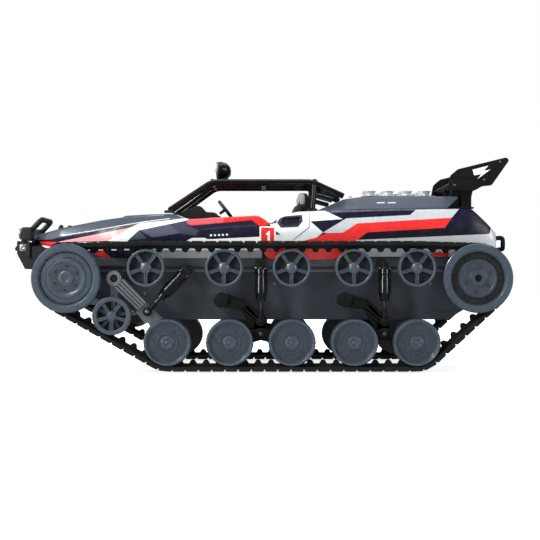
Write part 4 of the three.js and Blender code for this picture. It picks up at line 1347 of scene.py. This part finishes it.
def intake_stacks():
    """Two rows of four trumpets on a plate, with bolted flanges and linking rails."""
    mould = Mould()
    mould.add(BRUSHED, block(88, 160, -14, 14, 164.6, 166, 0.4))
    trumpet = [(4.2, 165.6), (4.9, 167.4), (5.2, 169), (6.1, 170.2), (6.4, 170.7), (6.1, 171), (5.4, 170.5),
               (4.4, 169.2), (4, 167.6), (3.8, 165.9)]
    for y in (-9, 9):
        for n in range(4):
            x = STACK_X + STACK_PITCH * n
            horn = aimed(turned(rounded([(r, z - 165) for r, z in trumpet], 0.3, 2), 32), UP)
            mould.add(CHROME, moved(horn, x, y, 165))
            mould.add(SEAM, facing(disc(4, 0, 0.5, 0.1, 24), UP, x, y, 165.8))
            flange = aimed(collar(4.4, 6.1, 0, 1.4, 0.3, 6), UP)
            mould.add(CHROME, moved(flange, x, y, 165.8))
            for turn in (0.8, 2.4, 4.0, 5.6):
                at = polar(6.2, turn)
                bolt = aimed(disc(0.7, 0, 1.2, 0.2, 6), UP)
                mould.add(CHROME, moved(bolt, x + at.x, y + at.y, 165.8))
    for n in range(3):
        x = STACK_X + STACK_PITCH * n
        for y in (-9, 9):
            mould.add(CHROME, tube([(x + 6, y, 167.6), (x + 11.6, y, 167.6)], 0.9, steps=10))
    return mould.mesh("intake_stacks")


stand_in(engine_cover(), "engine_cover")
stand_in(intake_stacks(), "intake_stacks")

# ---------------------------------------------------------------- cockpit

SEAT_Y = 19.0


def cockpit():
    mould = Mould()
    mould.add(INTERIOR, block(-97, 39, -44, 44, 112.6, 115, 0.5))
    dash = [(-97, 116), (-97, 145.6), (-89, 147.6), (-80, 151.4), (-71, 154.2), (-66.5, 152.8),
            (-63.5, 148.6), (-56, 148.4), (-52.4, 147), (-51, 143), (-54, 134), (-64, 120), (-80, 116)]
    mould.add(INTERIOR, slab(dash, 2.0, 3, -40, 40, 1.2))
    hump = [(-92, 146), (-86, 149.2), (-78, 153), (-71, 155), (-67.4, 153.8), (-65.2, 150), (-70, 148),
            (-84, 145)]
    mould.add(TRIM, slab(hump, 1.2, 3, -36, -6, 1.0))
    for y in (-26, -12):
        gauge = spun([(0, 0), (4.2, 0), (4.2, 1.4), (3.6, 1.5), (3.5, 0.8), (0, 0.8)], 0.2, 2, 28)
        mould.add(GLOSS_BLACK, moved(aimed(gauge, (1, 0, 0.1)), -51.4, y, 141.5))
        face = spun([(0, 0), (3.4, 0), (3.4, 1), (0, 1)], 0.1, 1, 28)
        mould.add(GAUGE, moved(aimed(face, (1, 0, 0.1)), -51.4, y, 141.5))
    mould.add(GLOSS_BLACK, block(-52, -50.4, 4, 24, 136, 144, 0.6))
    console = rounded([(-60, 115), (-60, 128), (-30, 124), (20, 123), (26, 115)], 2, 3)
    mould.add(INTERIOR, prism(console, -3.4, 3.4, 0.8))
    mould.add(BRUSHED, tube([(-22, 0, 122), (-25, 0, 133)], 0.9, steps=12))
    mould.add(GLOSS_BLACK, cushion((-25.2, 0, 134), (4, 4, 4), 2.4, 5))
    for k in range(3):
        mould.add(BRUSHED, block(-74, -72.5, -28 + 6 * k, -24.5 + 6 * k, 118, 123, 0.4))
    for y in (-SEAT_Y, SEAT_Y):
        mould.add(INTERIOR, block(-30, 24, y - 14.5, y + 14.5, 114.5, 118, 0.8))
    mould.add(TRIM, slab([(34.6, 115), (39, 115), (39, 150), (36, 152)], 0.8, 2, -43, 43, 0.5))
    return mould.mesh("cockpit")


def seat(y):
    """Bucket seat: cushion and back with channels, bolsters, and a headrest with a grey patch."""
    mould = Mould()
    mould.add(LEATHER, cushion((-9, y, 121.5), (40, 20, 8.5), 5, 11, channels=5))
    for side in (-1, 1):
        mould.add(LEATHER, cushion((-8, y + side * 12, 122.5), (40, 5.6, 11), 4, 7))

    def leaning(bm):
        lean = Matrix.Rotation(math.radians(-76), 3, "Y")
        bmesh.ops.rotate(bm, verts=bm.verts[:], cent=(16, y, 122), matrix=lean)
        return bm

    mould.add(LEATHER, leaning(cushion((35, y, 119), (33, 20, 8), 5, 11, channels=4)))
    for side in (-1, 1):
        mould.add(LEATHER, leaning(cushion((34, y + side * 11.6, 120.5), (32, 5.4, 10), 4, 7)))
    mould.add(LEATHER, cushion((30.6, y, 158), (9.5, 15, 20), 4.5, 9))
    mould.add(PATCH, cushion((27, y, 161.6), (4.4, 11.6, 10.4), 3.5, 7))
    for turn in (-1, 1):
        mould.add(PATCH, cushion((29.4, y + turn * 6.6, 161.6), (5.4, 2.6, 10.4), 3.5, 7))
    for side in (-1, 1):
        mould.add(BRUSHED, tube([(30.6, y + side * 4, 150), (30.6, y + side * 4, 157)], 0.8, steps=10))
    return mould.mesh("seat", crease=70)


stand_in(cockpit(), "cockpit_tub")
for label, side in SIDES:
    show(seat(side * SEAT_Y), f"seat_{label}", "chassis", (), weighted=False)


def steering_wheel():
    """Drawn flat about the origin, facing up, then tilted onto its column."""
    mould = Mould()
    rim = wire(9.2, 1.6, 12)
    parts = [(LEATHER, turned(rim, 44)), (GLOSS_BLACK, disc(2.5, -1.4, 1.2, 0.5, 24, dome=0.4)),
             (INTERIOR, disc(1.5, -7, -1, 0.3, 20))]
    for turn in (90, 210, 330):
        spoke = strip(polar(1.5, math.radians(turn)), polar(8.6, math.radians(turn)), 1.0)
        parts.append((BRUSHED, prism(spoke, -0.6, 0.5, 0.3)))
    tilt = Vector(JOINTS["steering_wheel_turn"]["axis"])
    for material, bm in parts:
        mould.add(material, aimed(bm, tilt))
    return mould.mesh("steering_wheel")


stand_in(steering_wheel(), "steering_wheel", "steering_wheel",
         Vector(JOINTS["steering_wheel_turn"]["pos_m"]))

# ---------------------------------------------------------------- roll cage, lamps


CAGE_R = 3.1
CAGE_W = 35.0
CAGE_Z = 177.5


def roll_cage():
    mould = Mould()
    for _, side in SIDES:
        w = side * CAGE_W
        main = [(-98, side * 46, 149.2), (-57.5, w, CAGE_Z), (41, w, CAGE_Z), (38.5, side * 37, 151.6)]
        mould.add(GLOSS_BLACK, tube(main, CAGE_R, bend=6, steps=20))
        mould.add(GLOSS_BLACK, tube([(40, w, CAGE_Z - 0.4), (69, side * 34.5, 164)], CAGE_R * 0.94, steps=20))
        mould.add(GLOSS_BLACK, tube([(40, side * 36, 165), (58, side * 34.5, 160)], CAGE_R * 0.8, steps=18))
        for x in (-57.5, -8, 41):
            ring = collar(CAGE_R - 0.3, CAGE_R + 0.45, w * 0.9 - 1.1, w * 0.9 + 1.1, 0.3, 24, 1, (x, CAGE_Z))
            mould.add(GLOSS_BLACK, ring)
        foot = [(-103, 147.4), (-92.6, 147.4), (-94, 149.8), (-101.6, 149.8)]
        mould.add(TRIM, slab(foot, 0.5, 2, side * 42.8, side * 49.2, 0.4))
        rear_foot = [(33, 149.6), (44, 149.6), (43, 152), (34, 152)]
        mould.add(TRIM, slab(rear_foot, 0.5, 2, side * 34, side * 41, 0.4))
    for x in (-57.5, 41, -8):
        mould.add(GLOSS_BLACK, tube([(x, -CAGE_W, CAGE_Z), (x, CAGE_W, CAGE_Z)], CAGE_R, steps=20))
    spine = [(-98, 0, 148), (-57.5, 0, CAGE_Z), (40, 0, CAGE_Z - 0.2), (67, 0, 165)]
    mould.add(GLOSS_BLACK, tube(spine, 2.6, bend=6, steps=20))
    return mould.mesh("roll_cage")


def lamp(centre, radius, depth):
    """A bowl lamp that faces -X: housing, reflector, bezel and a domed lens."""
    def scaled(line):
        return [(radius * r, w) for r, w in line]

    shell = scaled([(0, depth), (0.45, depth * 0.96), (0.82, depth * 0.7), (1, depth * 0.3), (1, 0),
                    (0.9, -0.3), (0.84, 0.2), (0.8, 1.6), (0.4, 4), (0, 4.6)])
    bowl = scaled([(0, 4.2), (0.38, 3.6), (0.79, 1.3), (0.8, 1.7), (0.4, 4.1), (0, 4.7)])
    lens = scaled([(0, -3.4), (0.5, -2.7), (0.84, -0.3), (0.84, 1), (0.4, 0.6), (0, 0.4)])
    parts = [(GLOSS_BLACK, spun(shell, 0.6, 3, 40)), (REFLECTOR, spun(bowl, 0.2, 2, 40)),
             (BRUSHED, collar(radius * 0.8, radius * 1.02, 0.4, 2.2, 0.4, 40, -1)),
             (LENS, spun(lens, 0.5, 3, 40))]
    return [(material, facing(bm, BACK, *centre)) for material, bm in parts]


def roof_light():
    mould = Mould()
    for side in (-1, 1):
        for material, bm in lamp((-52.4, side * 9.2, 191.6), 8.3, 11.6):
            mould.add(material, bm)
        foot = [(-49.5, 180), (-43.5, 180), (-44, 186), (-49, 186)]
        mould.add(TRIM, slab(foot, 0.5, 2, side * 9.2 - 2, side * 9.2 + 2, 0.4))
    mould.add(TRIM, block(-52, -42, -16, 16, 179.8, 182.2, 0.6))
    return mould.mesh("roof_light")


stand_in(roll_cage(), "roll_cage")
stand_in(roof_light(), "roof_light")

# ---------------------------------------------------------------- front end


def front_bumper():
    mould = Mould()
    wedge = [(-248, 109.7), (-240, 94.5), (-206.6, 94.5), (-206.6, 106), (-238, 110)]
    mould.add(TRIM, slab(wedge, 1.4, 3, -26, 26, 0.9))
    for k in range(5):
        y = -20 + 10 * k
        rib = [(-247, 108.4), (-240.6, 96), (-212, 95), (-212, 94.1), (-240.8, 94.1), (-248.2, 108.6)]
        mould.add(TRIM, prism(rib, y - 1, y + 1, 0.3))
    mould.add(TRIM, block(-237.4, -233.8, -30, 30, 105, 120, 0.8))
    for y in (-24, 24):
        for z in (110, 116.5):
            mould.add(BRUSHED, bolt((-237.4, y, z), FORWARD, 1.6, -0.4, 0.8, 0.7, 1, 0.4, steps=16))
    for side in (-1, 1):
        brace = [(-234, 116), (-222, 116), (-207, 104), (-207, 96), (-234, 96)]
        mould.add(TRIM, slab(brace, 1.2, 3, side * 24, side * 27, 0.5))
    return mould.mesh("front_bumper")


def winch():
    """Silver drum and rope in a black frame, with the fairlead's rollers and two dark prongs in front."""
    mould = Mould()
    for side in (-1, 1):
        cheek = [(-246.4, 111.4), (-238.4, 111.4), (-238.4, 118.8), (-246.4, 118.8)]
        mould.add(BRUSHED, slab(cheek, 1.2, 3, side * 17, side * 21.6, 0.6))
        post = [(-239.6, 109.6), (-236.8, 109.6), (-236.8, 121.2), (-239.6, 121.2)]
        mould.add(TRIM, slab(post, 0.6, 2, side * 17, side * 23, 0.5))
        for z in (110.6, 119.9):
            mould.add(TRIM, block(-248.2, -237, side * 20 - 3, side * 20 + 3, z - 1, z + 1.2, 0.5))
        mould.add(STEEL, collar(1.2, 2.6, 21, 22.4, 0.4, 28, side, (-242.6, 115.1)))
    mould.add(TRIM, block(-241, -237.6, -21, 21, 110.6, 120.8, 0.6))
    mould.add(BRUSHED, tube([(-243, -17, 115.8), (-243, 17, 115.8)], 3.3, steps=28))
    for k in range(21):
        mould.add(STEEL, moved(turned(wire(3.4, 0.75, 8), 28), -243, -15.5 + 1.55 * k, 115.8))
    for low, high in ((119, 121.4), (109.6, 111.8)):
        mould.add(TRIM, block(-248.2, -246.4, -22, 22, low, high, 0.5))
    for y in (-10, 10):
        mould.add(STEEL, tube([(-248, y, 111), (-248, y, 120)], 1.3, steps=16))
    for y in (-19, 19):
        mould.add(TRIM, block(-248.4, -246, y - 3, y + 3, 109.8, 121.2, 0.6))
    for y in (-6, 6):
        prong = [(-254, 113.6), (-252.4, 112), (-247, 112.6), (-247, 116.6), (-252.4, 117)]
        mould.add(TRIM, slab(prong, 0.7, 2, y - 1.5, y + 1.5, 0.4))
    return mould.mesh("winch")


def bull_bar():
    mould = Mould()
    hoop = [(-241, -24, 119), (-241, -24, 124), (-224, -24, 142.2), (-224, 24, 142.2), (-241, 24, 124),
            (-241, 24, 119)]
    mould.add(TRIM, tube(hoop, 2.7, bend=6, steps=20))
    for side in (-1, 1):
        mould.add(TRIM, block(-242.6, -232, side * 24 - 6.5, side * 24 + 6.5, 121.4, 134.6, 1.8))
        for material, bm in lamp((-243, side * 24, 128.2), 5.2, 3):
            mould.add(material, bm)
    return mould.mesh("bull_bar")


stand_in(front_bumper(), "front_bumper")
stand_in(winch(), "winch")
stand_in(bull_bar(), "bull_bar")

# ---------------------------------------------------------------- wing, tow loop


def aerofoil(nose, tail, thick, camber, steps=12):
    """Outline of a wing section from nose to tail."""
    nose, tail = Vector(nose), Vector(tail)
    chord = tail - nose
    normal = Vector((-chord.y, chord.x)).normalized()
    upper, lower = [], []
    for k in range(steps + 1):
        t = k / steps
        centre = nose + chord * t + normal * camber * 4 * t * (1 - t)
        half = thick * (1.48 * math.sqrt(t) - 0.63 * t - 1.76 * t * t + 1.42 * t ** 3 - 0.5 * t ** 4) + 0.25
        upper.append(centre + normal * half)
        lower.append(centre - normal * half)
    return upper + list(reversed(lower))


def rear_wing():
    mould = Mould()
    plate = [(168.2, 182.1), (175.4, 188.1), (221.2, 199.3), (224, 196.5), (207.3, 172.7), (198.3, 171.8),
             (190.5, 167.4), (165.2, 168)]
    upper_facet = [(171, 181.6), (176.4, 186), (218.6, 196.6), (197, 177.6)]
    lower_facet = [(168, 171), (190, 170.4), (197.4, 174.6), (192, 177.2), (170.6, 178.4)]
    flash = [(189, 187.4), (204, 191.2), (199.6, 186.4), (206, 187.6), (193.6, 178.6), (197.2, 183.2),
             (190.6, 182)]
    for _, side in SIDES:
        mould.add(WING, slab(plate, 1.6, 3, 54.5, 57, 0.7, side))
        mould.add(WING, slab(upper_facet, 1.0, 2, 56, 57.6, 0.5, side))
        mould.add(WING, slab(lower_facet, 1.0, 2, 56, 57.5, 0.5, side))
        mould.add(PEARL, prism(flash, 57, 57.75, 0.12, side))
        for at in ((172, 173), (200, 178), (215, 195)):
            mould.add(BRUSHED, screw(1.0, 57, side, at, 0.7))
    mould.add(WING, prism(aerofoil((168, 174.6), (204.5, 183.2), 4.6, -1.6), -55, 55, 0))
    mould.add(WING, prism(aerofoil((200, 185.6), (220, 195.6), 3.0, -1.2), -55, 55, 0))
    for y in (-20, 20):
        tower = [(181, 153), (194, 153), (194, 164), (197, 177), (174, 177), (174, 166), (181, 165.5)]
        mould.add(WING, slab(tower, 1.6, 3, y - 4, y + 4, 0.8))
        mould.add(TRIM, block(178.5, 196, y - 6, y + 6, 152.7, 154.4, 0.5))
        mould.add(WING, slab([(170, 153), (184, 153), (184, 166), (178, 166)], 0.8, 2, y - 4, y + 4, 0.5))
        mould.add(BRUSHED, tube([(193, y, 170), (205, y, 186)], 1.1, steps=12))
    return mould.mesh("rear_wing")


def tow_loop():
    """Wide hoop on a plate across the tail."""
    mould = Mould()
    mould.add(ARM_BLACK, block(212, 215.2, -31, 31, 119, 127, 0.8))
    loop = [(213.5, -28, 123.5), (223.6, -28, 124.5), (223.6, -28, 113.4), (223.6, 28, 113.4),
            (223.6, 28, 124.5), (213.5, 28, 123.5)]
    mould.add(ARM_BLACK, tube(loop, 2.2, bend=3.5, steps=20))
    for y in (-28, 28):
        mould.add(ARM_BLACK, facing(collar(2.1, 3.4, 0, 1.6, 0.4, 24), BACK, 215, y, 123.5))
    for y in (-21, 21, -7, 7):
        mould.add(BRUSHED, bolt((215.2, y, 123.4), BACK, 1.3, -0.4, 0.7, 0.5, 0.8, 0.3, 0.15))
    return mould.mesh("tow_loop")


stand_in(rear_wing(), "rear_wing")
stand_in(tow_loop(), "rear_tow_loop")

# ---------------------------------------------------------------- inside the hull


def gearbox():
    mould = Mould()
    case = rounded([(160, 71), (202, 71), (202, 102), (172, 102), (160, 92)], 3, 3)
    mould.add(CASE, prism(case, -44, 44, 1.2))
    for k in range(8):
        y = -38.5 + 11 * k
        mould.add(CASE, block(165, 200, y - 0.8, y + 0.8, 101.4, 103, 0.3))
    for x in (165, 197):
        for y in (-40, -13, 13, 40):
            mould.add(STEEL, bolt((x, y, 101.8), UP, 1.6, -0.6, 0.6, 0.7, 0.8, 0.3))
    can = [(0, 0), (13, 0), (13, 4), (12.6, 4.4), (12.6, 34), (13, 34.4), (13, 38), (5, 40.5), (5, 42),
           (0, 42)]
    for y in (-20, 20):
        motor = aimed(spun(can, 0.5, 2, 36), (-1, 0, 0))
        mould.add(BRUSHED, moved(motor, 163, y, 74))
        for dz in (-7, 7):
            mould.add(COPPER, block(119.5, 122.6, y - 1.6, y + 1.6, 73.4 + dz, 74.6 + dz, 0.2))
    return mould.mesh("gearbox")


def battery():
    mould = Mould()
    floor = BELLY_Z + WALL + 0.5
    mould.add(SLEEVE, block(-58, 58, -23, 23, floor + 0.5, 73, 4.5))
    for x in (-59, 52):
        mould.add(ARM_BLACK, block(x, x + 7, -23.8, 23.8, floor, 73.8, 3.5))
    for y in (-6, 6):
        lead = [(57, y, 66), (68, y, 68), (84, y * 1.6, 64), (112, y * 2, 70)]
        mould.add(RED if y < 0 else GLOSS_BLACK, tube(lead, 1.6, 6, 12))
    mould.add(TRIM, block(-6, 6, -24, 24, 72.6, 74, 0.4))
    return mould.mesh("battery")


stand_in(gearbox(), "gearbox_pack")
stand_in(battery(), "battery_pack")

# ---------------------------------------------------------------- stage


def area_light(name, place, target, size, power):
    light = bpy.data.lights.new(name, "AREA")
    light.shape = "RECTANGLE"
    light.size, light.size_y = size
    light.energy = power
    lamp_object = bpy.data.objects.new(name, light)
    lamp_object.location = place
    lamp_object.rotation_euler = (Vector(target) - Vector(place)).to_track_quat("-Z", "Y").to_euler()
    bpy.context.scene.collection.objects.link(lamp_object)


def stage():
    floor_mesh = bpy.data.meshes.new("floor")
    bm = bmesh.new()
    bmesh.ops.create_grid(bm, x_segments=8, y_segments=8, size=6)
    bm.to_mesh(floor_mesh)
    bm.free()
    floor = bpy.data.objects.new("floor", floor_mesh)
    floor.location = (0, 0, -0.0012)
    bpy.context.scene.collection.objects.link(floor)
    paper = finish("studio_paper", (244, 245, 246), rough=0.9, grain=0.05, grain_size=2, mottle=0.01)
    put(paper.node_tree.nodes["Principled BSDF"], Emission_Color=(1, 1, 1, 1), Emission_Strength=0.78)
    floor_mesh.materials.append(paper)
    floor.visible_glossy = False

    world = bpy.data.worlds.new("studio")
    world.use_nodes = True
    nodes, links = world.node_tree.nodes, world.node_tree.links
    background = nodes["Background"]
    put(background, Color=(0.93, 0.95, 1, 1), Strength=0.34)
    white = nodes.new("ShaderNodeBackground")
    put(white, Color=(1, 1, 1, 1))
    rays = nodes.new("ShaderNodeLightPath")
    dim = nodes.new("ShaderNodeBackground")
    put(dim, Color=(0.13, 0.14, 0.15, 1))
    previous = background.outputs[0]
    for ray, shade in (("Is Glossy Ray", dim), ("Is Camera Ray", white)):
        mix = nodes.new("ShaderNodeMixShader")
        links.new(rays.outputs[ray], mix.inputs["Fac"])
        links.new(previous, mix.inputs[1])
        links.new(shade.outputs[0], mix.inputs[2])
        previous = mix.outputs[0]
    links.new(previous, nodes["World Output"].inputs["Surface"])
    bpy.context.scene.world = world

    target = (AXLES_X, 0, 0.1)
    area_light("key", (-1.0, -1.5, 1.25), target, (0.4, 0.4), 16)
    area_light("strip", (-1.15, -1.5, 0.45), target, (0.22, 0.9), 9)
    area_light("crescent", (-1.4, -0.25, 1.3), target, (0.4, 0.4), 30)
    area_light("overhead", (0.1, -0.1, 1.7), target, (1.6, 0.9), 8)
    area_light("fill", (1.3, -1.5, 0.5), target, (0.5, 0.9), 6)
    area_light("rim", (0.3, 1.5, 1.1), target, (1.4, 0.7), 7)
    bpy.context.scene.view_settings.view_transform = "Standard"


def camera():
    """Level side view from the photographer's place, framed by a small upward shift."""
    data = bpy.data.cameras.new("photo")
    data.sensor_width = 36
    data.lens = 75.5
    data.shift_y = 0.0185
    data.clip_end = 50
    lens = bpy.data.objects.new("photo", data)
    lens.location = (AXLES_X + EYE.x * MM, EYE.y * MM, EYE.z * MM)
    lens.rotation_euler = (math.radians(90), 0, 0)
    bpy.context.scene.collection.objects.link(lens)
    bpy.context.scene.camera = lens


stage()
camera()
bpy.context.view_layer.update()
